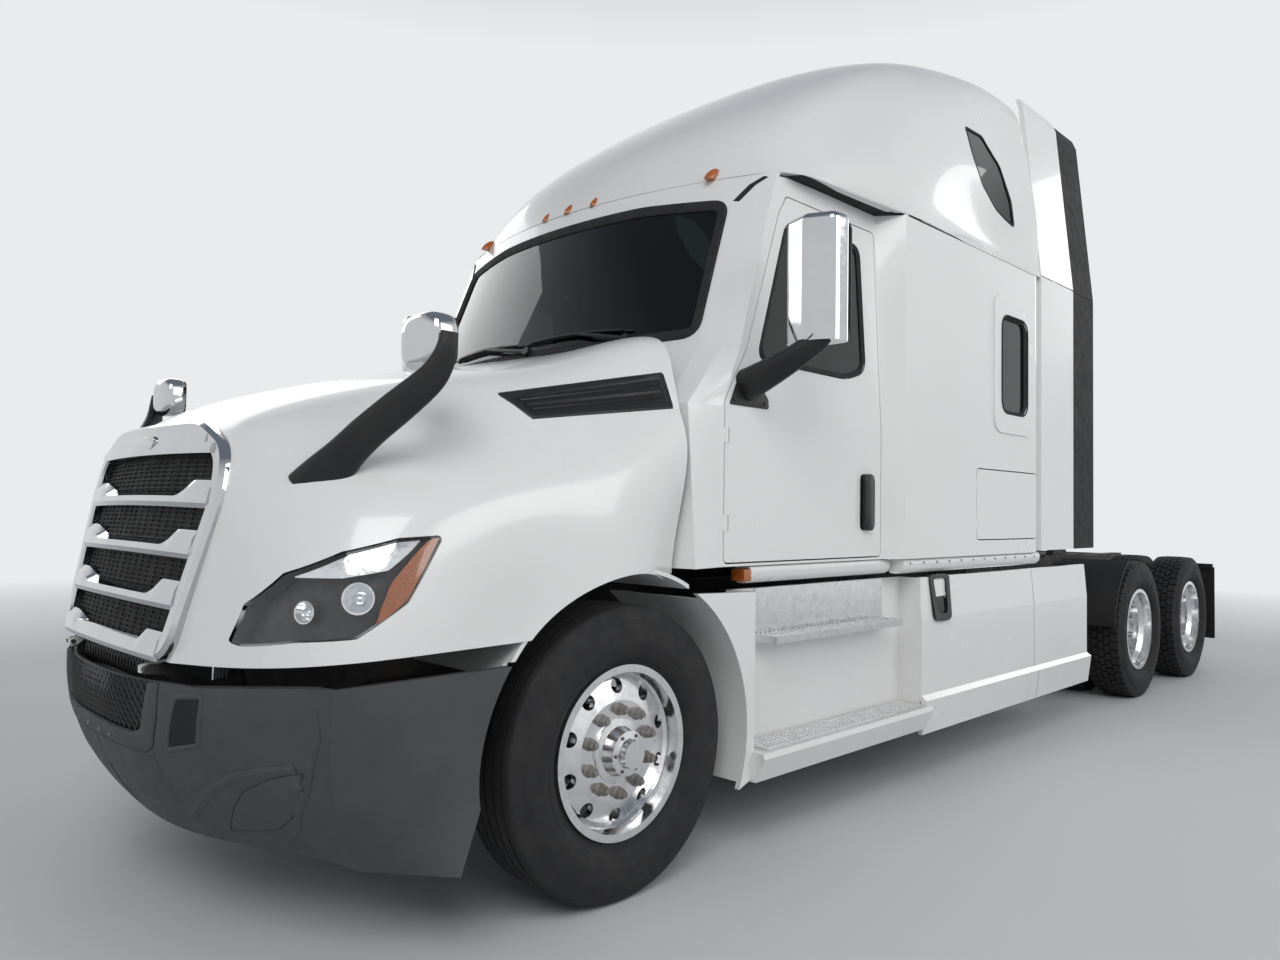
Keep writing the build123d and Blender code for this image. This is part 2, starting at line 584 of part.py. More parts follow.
def cab_shell():
    """The hollow cab and sleeper walls, with the windshield, door and window openings."""
    room = cab_solid(WALL) - box(-4000, 0, -1300, 1300, CAB_FLOOR_Z - 10, CAB_FLOOR_Z + WALL)
    shell = cab_solid(0) - room
    shell -= front_prism(SCREEN, -1000, -100, rounds=60)
    door_hole = side_prism(DOOR, 1020, 1300, rounds=28)
    window_hole = side_prism(SLEEPER_WINDOW, 1100, 1300, rounds=80)
    luggage_hole = side_prism(LUGGAGE_DOOR, 1100, 1300, rounds=40)
    frame = side_prism(SLEEPER_WINDOW_FRAME, SLEEPER_HALF_W - 10, SLEEPER_HALF_W + 10, rounds=90)
    shell += frame + mirrored(frame)
    for hole in (door_hole, window_hole, luggage_hole):
        shell -= hole
        shell -= mirrored(hole)
    hinges = hinge_knuckles(DOOR_FRONT_X, CAB_HALF_W, DOOR_HINGE_Z, 0)
    hinges += hinge_knuckles(LUGGAGE_DOOR[0][0], SLEEPER_HALF_W, LUGGAGE_HINGE_Z, 0)
    shell += hinges + mirrored(hinges)
    mounts = box(-500, -400, 350, 430, RAIL_TOP + SEAT, CAB_FLOOR_Z + 5)
    mounts += box(-3300, -3200, 350, 430, RAIL_TOP + SEAT, CAB_FLOOR_Z + 5)
    mounts += box(-1800, -1700, 350, 430, RAIL_TOP + SEAT, CAB_FLOOR_Z + 5)
    return shell + mounts + mirrored(mounts)


def cab_glass(skins):
    """Windshield, sleeper windows and the small roof windows."""
    outer, inner, roof_outer, roof_inner = skins
    band = outer - inner
    screen = band & front_prism(SCREEN, -1000, -100, rounds=60, grow=-SEAT)
    side = band & side_prism(SLEEPER_WINDOW, 1100, 1300, rounds=80, grow=-SEAT)
    upper = (roof_outer - roof_inner) & side_prism(ROOF_WINDOW, 900, 1300, rounds=24, grow=-SEAT)
    pieces = solids_of(screen) + solids_of(side) + solids_of(mirrored(side))
    pieces += solids_of(upper) + solids_of(mirrored(upper))
    return Compound(children=pieces)


def door():
    """Left door leaf with its window opening and pull handle."""
    leaf = (cab_solid(0) - cab_solid(WALL)) & side_prism(DOOR, 1020, 1300, rounds=28, grow=-GAP)
    leaf -= side_prism(DOOR_WINDOW, 1000, 1300, rounds=60)
    leaf -= hinge_knuckles(DOOR_FRONT_X, CAB_HALF_W, DOOR_HINGE_Z, GAP)
    handle = side_prism([(-1525, 1262), (-1525, 1512), (-1585, 1512), (-1585, 1262)], 1145, 1168, rounds=20)
    return leaf + handle


def door_glass(outer, inner):
    return (outer - inner) & side_prism(DOOR_WINDOW, 1000, 1300, rounds=60, grow=-SEAT)


def luggage_door():
    leaf = (cab_solid(0) - cab_solid(WALL)) & side_prism(LUGGAGE_DOOR, 1100, 1300, rounds=40, grow=-GAP)
    return leaf - hinge_knuckles(LUGGAGE_DOOR[0][0], SLEEPER_HALF_W, LUGGAGE_HINGE_Z, GAP)


ROOF_LEVELS = (
    # z, front centre x, (x, y) points of the left flank from front to rear
    (ROOF_SEAM_Z + 2, -688, ((-852, 940), (-930, 1095), (-1300, 1180), (-1800, 1218), (-3430, 1218))),
    (3050, -865, ((-1000, 800), (-1130, 1010), (-1430, 1140), (-1850, 1192), (-3430, 1198))),
    (3350, -1225, ((-1355, 780), (-1480, 970), (-1740, 1085), (-2120, 1145), (-3430, 1165))),
    (3600, -1605, ((-1730, 750), (-1865, 940), (-2100, 1045), (-2440, 1100), (-3430, 1122))),
    (3800, -1990, ((-2110, 700), (-2245, 870), (-2490, 985), (-2800, 1050), (-3430, 1075))),
    (3930, -2400, ((-2500, 620), (-2620, 780), (-2810, 890), (-3050, 960), (-3430, 985))),
    (4005, -2870, ((-2930, 430), (-3010, 570), (-3120, 670), (-3240, 730), (-3430, 760))),
    (ROOF_TOP_Z, -3250, ((-3270, 160), (-3295, 240), (-3330, 290), (-3370, 320), (-3430, 340))),
)


def roof_outline(level, d):
    """The roof cap's plan outline at one level, drawn in by d."""
    z, front, flank = level
    top = z - d if z > ROOF_SEAM_Z + 100 else z
    left = [(x - d * 0.7, y - d, top) for x, y in flank[:-1]]
    end = (SLEEPER_REAR_X + d, flank[-1][1] - d, top)
    points = [(x, -y, zz) for x, y, zz in [end, *reversed(left)]] + [(front - d, 0, top)] + [*left, end]
    return make_face(Spline(*points) + Line(end, points[0])).faces()[0]


def roof_solid(d):
    """The roof cap's bulk, drawn in by d; drawn in, it stops a level below the crown."""
    levels = ROOF_LEVELS[:-1] if d else ROOF_LEVELS
    return loft([roof_outline(level, d) for level in levels])


def roof_cap(outer, inner):
    """The hollow raised roof, open below over the cab, with its two small window openings."""
    roof = outer - inner
    hole = side_prism(ROOF_WINDOW, 900, 1300, rounds=24)
    return roof - hole - mirrored(hole)


# Hood


HOOD_STATIONS = (
    # x at the bottom, x at the crest, crest z, then (y, z) from the crown to the lower edge
    (1257, 1107, 1600, (360, 1570), (560, 1500), (606, 1400), (590, 1180), (545, 980), (507, 860)),
    (1205, 1045, 1655, (380, 1625), (620, 1550), (730, 1420), (800, 1180), (790, 1000), (770, 875)),
    (1040, 900, 1720, (400, 1690), (680, 1605), (880, 1450), (1050, 1230), (1095, 1050), (1100, 905)),
    (800, 720, 1775, (440, 1748), (740, 1668), (960, 1510), (1130, 1330), (1180, 1120), (1185, 920)),
    (350, 350, 1865, (500, 1838), (830, 1765), (1040, 1600), (1175, 1420), (1205, 1190), (1205, 935)),
    (-50, -50, 1950, (560, 1926), (930, 1858), (1085, 1690), (1185, 1500), (1206, 1270), (1205, 1040)),
    (-460, -460, 2045, (620, 2024), (1000, 1950), (1110, 1770), (1180, 1580), (1200, 1310), (1200, 1040)),
)


def hood_section(station, d, drop):
    """One station of the hood: a smooth crown closed by a straight lower edge."""
    low_x, crest_x, crest, *sides = station
    points = [(0, crest - d)] + inset_points([(0, crest), *sides], d)
    points[-1] = (points[-1][0], points[-1][1] - drop)
    foot = sides[-1][1]

    def at(y, z):
        share = (z - foot) / (crest - foot)
        return (low_x + (crest_x - low_x) * share - (d if crest_x != low_x else 0), y, z)

    left = [at(y, z) for y, z in points]
    right = [at(-y, z) for y, z in reversed(points[1:])]
    curve = Spline(*right, *left)
    return make_face(curve + Line(left[-1], right[0])).faces()[0]


def inset_points(points, d):
    """Moves each (y, z) point after the first by d along the inward normal of its neighbours."""
    moved = []
    for i in range(1, len(points)):
        y0, z0 = points[i - 1]
        y1, z1 = points[min(i + 1, len(points) - 1)]
        length = hypot(y1 - y0, z1 - z0)
        y, z = points[i]
        moved.append((y + d * (z1 - z0) / length, z - d * (y1 - y0) / length))
    return moved


def hood_solid(d, drop):
    return loft([hood_section(station, d, drop) for station in HOOD_STATIONS])


HOOD_CUT = [(HOOD_REAR_X, 900), (HOOD_REAR_X, 1700), (-330, 1860), (-362, 1965), (-400, 2060), (-400, 2300)]
HOOD_CUT += [(-1200, 2300), (-1200, 900)]
HEADLAMP = [(745, 1254), (870, 1245), (1001, 1206), (1107, 1144), (1166, 1053)]
HEADLAMP += [(1197, 932), (1106, 960), (992, 972), (861, 1066)]
VENT = [(372, 1722), (-280, 1855), (-262, 1710), (318, 1630)]
GRILLE_TILT = degrees(atan2(150, 740))
GRILLE_OUTLINE = [(-495, 30), (-590, 500), (-560, 640), (-380, 715)]
GRILLE_OUTLINE += [(-x, y) for x, y in reversed(GRILLE_OUTLINE)]
GRILLE_PLANE = Plane(
    origin=(1257, 0, 860),
    x_dir=(0, 1, 0),
    z_dir=(cos(radians(GRILLE_TILT)), 0, sin(radians(GRILLE_TILT))),
)


def grille_prism(points, depth0, depth1, rounds=0, grow=0):
    """An outline drawn on the raked front of the hood, carried along its normal."""
    face = make_face(Polyline(*[(x, y, 0) for x, y in points], close=True)).faces()[0]
    if rounds:
        face = face.fillet_2d(rounds, face.vertices())
    if grow:
        face = offset(face, amount=grow).faces()[0]
    solid = extrude(Pos(0, 0, depth0) * face, amount=depth1 - depth0, dir=(0, 0, 1))
    return GRILLE_PLANE.location * solid


def grille_bow(depth, thick):
    """A gently bowed sheet across the front, from which the grille's pieces are cut."""
    radius = 5000
    sheet = Pos(0, 0, depth - radius) * Rot(90, 0, 0) * Cylinder(radius, 1400)
    sheet -= Pos(0, 0, depth - radius) * Rot(90, 0, 0) * Cylinder(radius - thick, 1500)
    sheet &= Box(1500, 1500, 700)
    return GRILLE_PLANE.location * (Pos(0, 350, 0) * sheet)


def hood(outer, inner):
    """The tilting hood with its arches, liners, lamp, vent and grille openings, made as two halves."""
    left = (outer - inner) & box(-2000, 2000, 0, 1400, 500, 2500)
    left -= side_prism(HOOD_CUT, -400, 1300)
    left -= rod(0, 650, 1300, TYRE_R, ARCH_R)
    liner = arch_ring(0, TYRE_R, ARCH_R + LINER_INSET, ARCH_R + LINER_INSET + HOOD_T, 690, 1185)
    liner &= box(HOOD_REAR_X + 2, 640, 600, 1200, 822, 1300)
    left += liner - box(480, 700, 1154, 1210, 800, 868)
    left -= side_prism(HEADLAMP, 560, 1300, rounds=12)
    left -= side_prism(VENT, 900, 1300)
    left -= grille_prism(GRILLE_OUTLINE, -80, 200, rounds=40)
    bracket = side_prism(HOOD_BRACKET, RAIL_Y - RAIL_T - 50, RAIL_Y - RAIL_T - 30)
    left += bracket - rod(HOOD_PIVOT_X, 300, 500, HOOD_PIVOT_Z, HOOD_PIN_R + 0.05)
    return left + mirrored(left)


HOOD_BRACKET = [(HOOD_PIVOT_X - 14, HOOD_PIVOT_Z - 12), (HOOD_PIVOT_X + 12, HOOD_PIVOT_Z - 12)]
HOOD_BRACKET += [(HOOD_PIVOT_X + 12, HOOD_PIVOT_Z + 10), (HOOD_PIVOT_X - 31, HOOD_PIVOT_Z + 20)]
HOOD_BRACKET += [(HOOD_PIVOT_X - 34, 885), (HOOD_PIVOT_X - 48, 885), (HOOD_PIVOT_X - 48, HOOD_PIVOT_Z + 14)]


def headlamps(outer):
    """Leaf-shaped lamps let into the hood's front corners."""
    deep = hood_solid(70, 200)
    lamp = (outer & side_prism(HEADLAMP, 560, 1300, rounds=12, grow=-SEAT)) - deep
    return both(lamp)


def hood_vents(outer):
    """Dark louvred vents in the hood's shoulders."""
    deep = hood_solid(50, 200)
    vent = (outer & side_prism(VENT, 900, 1300, grow=-SEAT)) - deep
    return both(vent)


def grille():
    """Bright surround and four bowed bars."""
    outer = grille_prism(GRILLE_OUTLINE, -40, 120, rounds=60, grow=34)
    opening = grille_prism(GRILLE_OUTLINE, -80, 200, rounds=60, grow=-24)
    ring = grille_bow(62, 44) & outer & grille_prism(GRILLE_OUTLINE, SEAT, 90, rounds=60, grow=60)
    ring -= opening
    skirt = grille_prism(GRILLE_OUTLINE, -40, 30, rounds=40, grow=-SEAT) - opening
    bars = None
    for v in GRILLE_BARS:
        band = grille_prism([(-640, v - 30), (640, v - 30), (640, v + 30), (-640, v + 30)], -40, 160)
        piece = grille_bow(66, 40) & band & grille_prism(GRILLE_OUTLINE, -40, 160, rounds=60, grow=-20)
        bars = piece if bars is None else bars + piece
    made = ring + skirt + bars
    bracket_y = RAIL_Y - RAIL_T - 40
    for y in (-bracket_y, bracket_y):
        made -= side_prism(HOOD_BRACKET, y - 10 - SEAT, y + 10 + SEAT, grow=SEAT)
    return made


GRILLE_BARS = (110, 230, 350, 470)


def grille_mesh():
    """Dark louvred panel behind the bars."""
    return grille_bow(22, 12) & grille_prism(GRILLE_OUTLINE, -40, 120, rounds=60, grow=-24.3)


# Mirrors


def mirror_arm(points, radii):
    """A tapering cast arm, lofted through round sections along a path."""
    sections = []
    for i, (point, radius) in enumerate(zip(points, radii)):
        ahead = Vector(*points[min(i + 1, len(points) - 1)]) - Vector(*points[max(i - 1, 0)])
        plane = Plane(origin=point, x_dir=ahead.cross(Vector(1, 0, 0)), z_dir=ahead)
        sections.append(plane.location * Circle(radius).face())
    return loft(sections)


def hood_mirror():
    """Left hood mirror: black arm and bright convex head."""
    path = [(980, 850, 1405), (935, 940, 1495), (770, 1078, 1730), (735, 1100, 1800)]
    arm = mirror_arm(path, (54, 38, 26, 24))
    head = Pos(755, 1100, 1845) * Rot(0, -12, 0) * ellipsoid(52, 115, 74)
    return arm, head


def ellipsoid(a, b, c):
    return scale(Sphere(1), by=(a, b, c))


def door_mirror():
    """Left door mirror: bracket and tall bright shell."""
    path = [(-618, 1120, 1835), (-618, 1205, 1835), (-705, 1330, 1905), (-745, 1395, 2010)]
    arm = mirror_arm(path, (44, 40, 38, 34)) - cab_solid(-SEAT)
    shell = plan_prism(MIRROR_PLAN, 1985, 2475)
    shell = fillet(shell.edges().filter_by(Axis.Z), 40)
    shell = fillet(shell.edges().group_by(Axis.Z)[-1], 30)
    return arm, shell


MIRROR_PLAN = [(-700, 1300), (-655, 1420), (-700, 1530), (-800, 1545), (-815, 1300)]


# Bumper, fairings and rear body


BUMPER_LEVELS = (
    # z, front points (x, y) from the middle outwards, corner (x, y), rear end x
    (870, ((1330, 0), (1312, 300), (1225, 620), (1110, 980)), (1062, 1150), 489),
    (560, ((1300, 0), (1284, 300), (1200, 600), (1085, 930)), (1030, 1090), 590),
    (BUMPER_BOTTOM_Z, ((1130, 0), (1112, 250), (1030, 520), (930, 760)), (880, 960), 690),
)


def bumper_outline(level, d, back, dz):
    z, front, corner, rear_x = level
    left = [(x - d, y - d * 0.3, z + dz) for x, y in front[1:]]
    left += [(corner[0] - d * 0.8, corner[1] - d, z + dz)]
    rear = (rear_x - back, 1200 - d, z + dz)
    right = [(x, -y, zz) for x, y, zz in reversed(left)]
    curve = Spline(*right, (front[0][0] - d, 0, z + dz), *left)
    sides = Polyline(left[-1], rear, (rear[0], -rear[1], rear[2]), right[0])
    return make_face(curve + sides).faces()[0]


def bumper_solid(d, back=0, lows=(0, 0, 0)):
    return loft([bumper_outline(level, d, back, dz) for level, dz in zip(BUMPER_LEVELS, lows)])


BUMPER_TRIM = [(1500, 802), (1220, 802), (1070, 846), (489, 858), (300, 858), (300, 1000), (1500, 1000)]
BUMPER_OPENING = [(-470, 900), (-400, 520), (-340, 490), (340, 490), (400, 520), (470, 900)]


def bumper():
    """The wrap-around bumper shell with its middle opening and the rear face cleared for the wheels."""
    shell = bumper_solid(0) - bumper_solid(BUMPER_T, 200, (0, 0, -1))
    shell -= side_prism(BUMPER_TRIM, -1400, 1400)
    shell -= front_prism(BUMPER_OPENING, 900, 1500, rounds=16)
    shell -= rod(0, -1400, 1400, TYRE_R, 628)
    tie = box(RAIL_FRONT - 200, 1060, RAIL_Y - 60, RAIL_Y - 12, 600, RAIL_TOP - RAIL_H - SEAT)
    tie += box(1070, 1205, 560, 600, 580, 640)
    beam = box(1040, 1080, -1000, 1000, 560, 660)
    shell += beam + tie + mirrored(tie)
    return shell


def bumper_grille():
    """Dark mesh in the bumper's middle opening, with its plain centre block."""
    sheet = bumper_solid(BUMPER_T + 0.6) - bumper_solid(BUMPER_T + 9, 200, (1, 0, -1))
    opening = front_prism(BUMPER_OPENING, 900, 1500, rounds=16, grow=30)
    sheet = sheet & opening & box(1000, 1400, -600, 600, 460, 800)
    block = box(1215, 1288, -150, 150, 560, 700)
    return sheet + block


def ring_liner():
    """Fixed part of the wheel-arch liner behind the tyre."""
    ring = arch_ring(0, TYRE_R, ARCH_R, ARCH_R + 14, 700, FAIRING_Y - FAIRING_T)
    return ring & box(-700, HOOD_REAR_X - 8, 600, 1300, 300, 1010)


def fairing():
    """Left side fairing: arched front blade, recessed step wall, lower step box and skirt."""
    inner_y = FAIRING_Y - FAIRING_T
    blade = side_prism(BLADE, inner_y, FAIRING_Y) - rod(0, 1000, 1400, TYRE_R, ARCH_R)
    recess_y = 1085
    wall = box(STEP_FRONT_X - 20, STEP_REAR_X - 20, recess_y - 16, recess_y, LOWER_STEP_Z, FAIRING_TOP_Z)
    edge_x, foot_z = STEP_FRONT_X, FAIRING_BOTTOM_Z + 60
    front_return = box(edge_x - 18, edge_x, recess_y - 16, FAIRING_Y, foot_z, FAIRING_TOP_Z)
    rear_return = box(STEP_REAR_X - 20, STEP_REAR_X - 2, recess_y - 16, FAIRING_Y - 6, 300, FAIRING_TOP_Z)
    step = front_prism(STEP_SECTION, STEP_REAR_X - 10, STEP_FRONT_X - 2)
    skirt = front_prism(SKIRT_SECTION, FAIRING_REAR_X, STEP_REAR_X - 2)
    arch_liner = ring_liner()
    rail_arms = box(-2300, -2240, RAIL_Y + SEAT, 1200, 880, 940)
    rail_arms += box(-4150, -4090, RAIL_Y + SEAT, 1200, 880, 940)
    rail_arms += box(-860, -800, RAIL_Y + SEAT, recess_y - 8, 880, 940)
    return blade + wall + front_return + rear_return + step + skirt + arch_liner + rail_arms


BLADE = [(HOOD_REAR_X - 8, FAIRING_TOP_Z + 10), (STEP_FRONT_X, FAIRING_TOP_Z)]
BLADE += [(STEP_FRONT_X, 300), (-530, 262)]
BLADE += [(HOOD_REAR_X - 8, 262)]
STEP_SECTION = [(1060, LOWER_STEP_Z), (1262, LOWER_STEP_Z), (1268, LOWER_STEP_Z - 20)]
STEP_SECTION += [(1225, 290), (1060, 290)]
SKIRT_SECTION = [(1214, 258), (1236, 425), (1208, 446), (1208, 812), (1190, FAIRING_TOP_Z)]
SKIRT_SECTION += [(1168, FAIRING_TOP_Z), (1186, 812), (1186, 440), (1206, 418), (1192, 258)]


def tread_plates():
    """Bright tread plates: lower and upper steps, and the kick plate under the door."""
    lower = box(STEP_REAR_X + 30, STEP_FRONT_X - 60, 1095, 1255, LOWER_STEP_Z + SEAT, LOWER_STEP_Z + 8)
    upper = box(-1800, -800, 1085 + SEAT, 1205, UPPER_STEP_Z - 30, UPPER_STEP_Z)
    kick = box(-1800, -800, 1085 + SEAT, 1093, UPPER_STEP_Z, FAIRING_TOP_Z)
    return both(lower) + both(upper + kick)


def deck_plate():
    """Walkway plate over the rails behind the sleeper."""
    return box(-4230, -3520, -760, 760, RAIL_TOP + SEAT, RAIL_TOP + 10)


def side_extenders():
    """White panels that carry the sleeper's sides rearwards, in a lower and a leaning upper piece."""
    y0, y1 = SLEEPER_HALF_W - EXTENDER_T, SLEEPER_HALF_W
    lower = box(EXTENDER_REAR_X, SLEEPER_REAR_X - SEAT, y0, y1, 1130, EXTENDER_SPLIT_Z - 8)
    lower += box(SLEEPER_REAR_X - 40, SLEEPER_REAR_X - SEAT, y0 - 90, y0, 1200, EXTENDER_SPLIT_Z - 60)
    upper = front_prism(EXTENDER_UPPER, EXTENDER_REAR_X, SLEEPER_REAR_X - SEAT)
    tie = box(-3700, -3600, y0 + 2, y1 - 6, EXTENDER_SPLIT_Z - 20, EXTENDER_SPLIT_Z + 20)
    return both(lower + upper + tie)


EXTENDER_UPPER = [(1190, EXTENDER_SPLIT_Z), (1220, EXTENDER_SPLIT_Z)]
EXTENDER_UPPER += [(1110, EXTENDER_TOP_Z - 60), (1085, EXTENDER_TOP_Z)]
EXTENDER_UPPER += [(1060, EXTENDER_TOP_Z), (1080, EXTENDER_TOP_Z - 60)]


def extender_strips():
    """Black flexible edges behind the extenders."""
    y0, y1 = SLEEPER_HALF_W - 20, SLEEPER_HALF_W - 8
    lower = box(STRIP_REAR_X, EXTENDER_REAR_X - SEAT, y0, y1, 1130, EXTENDER_SPLIT_Z - 8)
    upper = front_prism([(y - 8, z - 4) for y, z in EXTENDER_UPPER], STRIP_REAR_X, EXTENDER_REAR_X - SEAT)
    return both(lower) + both(upper)


def mudguards():
    """Quarter fenders ahead of the drive tyres, and flaps at the end of the frame."""
    x = DRIVE_X[0]
    ring = arch_ring(x, TYRE_R, 590, 598, 740, 1210)
    ring = ring & box(x + 300, x + 640, 700, 1300, TYRE_R + 60, 1100)
    ring += rod(x + 480, RAIL_Y + SEAT, 1150, 830, 18)
    flap = box(RAIL_REAR - 30, RAIL_REAR - 20, 640, 1210, 260, 900)
    hanger = box(RAIL_REAR - 20, RAIL_REAR - SEAT, 150, 1200, 880, 930)
    return both(ring) + both(flap + hanger)


def lamps(roof_outer):
    """Five amber roof markers and the two tail lamps."""
    markers = []
    for x, y, z in ((-812, 821, 2800), (-725, 178, 2806), (-714, 0, 2806)):
        lamp = Pos(x, y, z) * Rot(0, 40, 0) * ellipsoid(60, 20, 24) - roof_outer
        lamp &= box(x - 100, x + 100, y - 30, y + 30, ROOF_SEAM_Z + 2, z + 100)
        markers += solids_of(lamp)
        if y:
            markers += solids_of(mirrored(lamp))
    tail = box(RAIL_REAR - 18, RAIL_REAR - SEAT, 250, 400, 800, 860)
    markers += solids_of(tail) + solids_of(mirrored(tail))
    return Compound(children=markers)


# Inside the cab


def dashboard():
    """Instrument panel across the cab, with the steering column on the left."""
    section = [(-372, 1500), (-372, 1760), (-480, 1850), (-720, 1800), (-760, 1640), (-560, 1180)]
    panel = side_prism(section, -960, 960) + bar((-640, 500, 1560), (-860, 500, 1720), 30)
    panel += box(-560, -372, -960, 960, CAB_FLOOR_Z + WALL + SEAT, 1520)
    return panel & cab_solid(WALL + SEAT)


def steering_wheel():
    lean = Plane(origin=(-893, 500, 1744), z_dir=(-220, 0, 160))
    ring = Torus(205, 14)
    spokes = Box(30, 400, 10) + Cylinder(45, 24)
    return lean.location * (ring + spokes)


def seats():
    pieces = []
    for y in (-500, 500):
        base = box(-1500, -1120, y - 170, y + 170, CAB_FLOOR_Z + WALL + SEAT, 1480)
        cushion = box(-1560, -1065, y - 240, y + 240, 1480, 1610)
        back = side_prism([(-1560, 1560), (-1420, 1560), (-1540, 2300), (-1640, 2300)], y - 230, y + 230)
        pieces += solids_of(base + cushion + back)
    bunk = box(-3350, -2500, -1080, 1080, 1640, 1830)
    bunk += box(-3340, -2500, -1070, 1070, CAB_FLOOR_Z + WALL + SEAT, 1640)
    return Compound(children=pieces + solids_of(bunk))


def main():
    os.makedirs("parts", exist_ok=True)
    left_tyre, left_rim = front_wheel()
    place(left_tyre, "front_left_tyre")
    place(left_rim, "front_left_rim")
    place(mirrored(left_tyre), "front_right_tyre")
    place(mirrored(left_rim), "front_right_rim")
    tyres, rims = dual_wheel(0)
    for label, x in zip(("forward", "rearward"), DRIVE_X):
        at_axle = Location((x, 0, 0))
        place(tyres.moved(at_axle), f"{label}_left_tyres")
        place(rims.moved(at_axle), f"{label}_left_rims")
        place(mirrored(tyres).moved(at_axle), f"{label}_right_tyres")
        place(mirrored(rims).moved(at_axle), f"{label}_right_rims")
    place(front_axle(), "front_axle")
    place(knuckle(), "left_knuckle")
    place(mirrored(knuckle()), "right_knuckle")
    place(tie_rod(), "tie_rod")
    place(frame_rails(), "frame_rails")
    place(front_springs(), "front_springs")
    place(drive_axles(), "drive_axles")
    place(rear_suspension(), "rear_suspension")
    place(driveline(), "driveline")
    place(engine(), "engine")
    place(radiator(), "radiator")
    place(fifth_wheel_base(), "fifth_wheel_base")
    place(fifth_wheel(), "fifth_wheel")
    place(fuel_tanks(), "fuel_tanks")
    place(step_boxes(), "step_boxes")
    glass_skins = cab_solid(8), cab_solid(8 + GLASS_T)
    roof_outer, roof_inner = roof_solid(0), roof_solid(WALL - 10)
    place(cab_shell(), "cab_shell")
    place(roof_cap(roof_outer, roof_inner), "roof_cap")
    place(cab_glass((*glass_skins, roof_solid(4), roof_solid(4 + GLASS_T))), "cab_glass")
    left_door, left_glass, left_luggage = door(), door_glass(*glass_skins), luggage_door()
    arm, shell = door_mirror()
    for label, turn in (("left", lambda s: s), ("right", mirrored)):
        place(turn(left_door), f"{label}_door")
        place(turn(left_glass), f"{label}_door_glass")
        place(turn(arm), f"{label}_mirror_arm")
        place(turn(shell - arm), f"{label}_mirror_shell")
        place(turn(left_luggage), f"{label}_luggage_door")
    hood_outer, hood_inner = hood_solid(0, 0), hood_solid(HOOD_T, 120)
    place(hood(hood_outer, hood_inner), "hood")
    place(headlamps(hood_outer), "headlamps")
    place(hood_vents(hood_outer), "hood_vents")
    place(grille(), "grille")
    place(grille_mesh(), "grille_mesh")
    arm, head = hood_mirror()
    arm = arm - hood_outer
    place(both(arm), "hood_mirror_arms")
    place(both(head - arm), "hood_mirror_shells")
    place(bumper(), "bumper")
    place(bumper_grille(), "bumper_grille")
    place(both(fairing()), "fairings")
    place(tread_plates(), "tread_plates")
    place(deck_plate(), "deck_plate")
    place(side_extenders(), "side_extenders")
    place(extender_strips(), "extender_strips")
    place(mudguards(), "mudguards")
    place(lamps(roof_outer), "lamps")
    place(dashboard(), "dashboard")
    place(steering_wheel(), "steering_wheel")
    place(seats(), "seats")


main()
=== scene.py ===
"""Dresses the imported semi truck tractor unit: paint, glass, lamps, tyres, wheel nuts and cab trim.

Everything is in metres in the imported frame: +X forward, +Y to the vehicle's left, +Z up, with
the origin under the middle of the vehicle. AXLE_X is the front axle's place in that frame, and
most pieces are drawn from it. Outlines that are laid on the CAD surfaces are in millimetres:
forward from the front axle or across from the middle, then up from the ground.
"""
from functools import cache
from math import atan2, cos, pi, radians, sin, sqrt

import bmesh
import bpy
import numpy as np
from mathutils import Matrix, Vector
from mathutils.bvhtree import BVHTree


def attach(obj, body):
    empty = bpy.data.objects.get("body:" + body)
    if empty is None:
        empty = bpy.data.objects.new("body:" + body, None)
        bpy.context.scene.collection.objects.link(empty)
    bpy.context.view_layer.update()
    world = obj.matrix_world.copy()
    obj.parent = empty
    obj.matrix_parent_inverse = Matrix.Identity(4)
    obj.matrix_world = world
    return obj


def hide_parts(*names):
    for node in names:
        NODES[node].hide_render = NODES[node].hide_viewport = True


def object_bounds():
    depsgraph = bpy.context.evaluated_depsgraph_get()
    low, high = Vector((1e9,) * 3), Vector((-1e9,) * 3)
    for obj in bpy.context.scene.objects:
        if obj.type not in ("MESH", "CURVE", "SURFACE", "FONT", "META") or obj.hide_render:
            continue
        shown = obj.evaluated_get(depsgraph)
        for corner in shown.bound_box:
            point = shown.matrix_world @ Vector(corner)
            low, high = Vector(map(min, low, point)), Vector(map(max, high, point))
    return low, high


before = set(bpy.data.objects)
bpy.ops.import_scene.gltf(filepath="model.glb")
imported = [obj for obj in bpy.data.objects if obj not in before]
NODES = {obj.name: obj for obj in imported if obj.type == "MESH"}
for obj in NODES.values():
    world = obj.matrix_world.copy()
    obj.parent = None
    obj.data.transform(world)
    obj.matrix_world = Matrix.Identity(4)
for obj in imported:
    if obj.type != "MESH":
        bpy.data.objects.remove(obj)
CAD_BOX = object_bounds()
DOORS = ("left_door", "right_door")

# Places taken from the vehicle's driving dimensions
AXLE_X = 3.047
TYRE_R = 0.505
STEER_WHEEL_Y = 1.045
DUAL_Y = 0.909
DUAL_SPACING = 0.343
DRIVE_X = (-5.356, -6.674)
BOLT_CIRCLE_R = 0.1429
STUDS = 10

# The faces that nuts, bolts and caps stand on, on the left of the vehicle
STEER_DISC_Y = STEER_WHEEL_Y + 0.112 - 0.042
STEER_NUTS_Y = STEER_DISC_Y + 0.011
HUB_CAP_Y = STEER_DISC_Y + 0.062
DRIVE_NUTS_Y = DUAL_Y + 0.022
AXLE_FLANGE_Y = DUAL_Y + 0.138

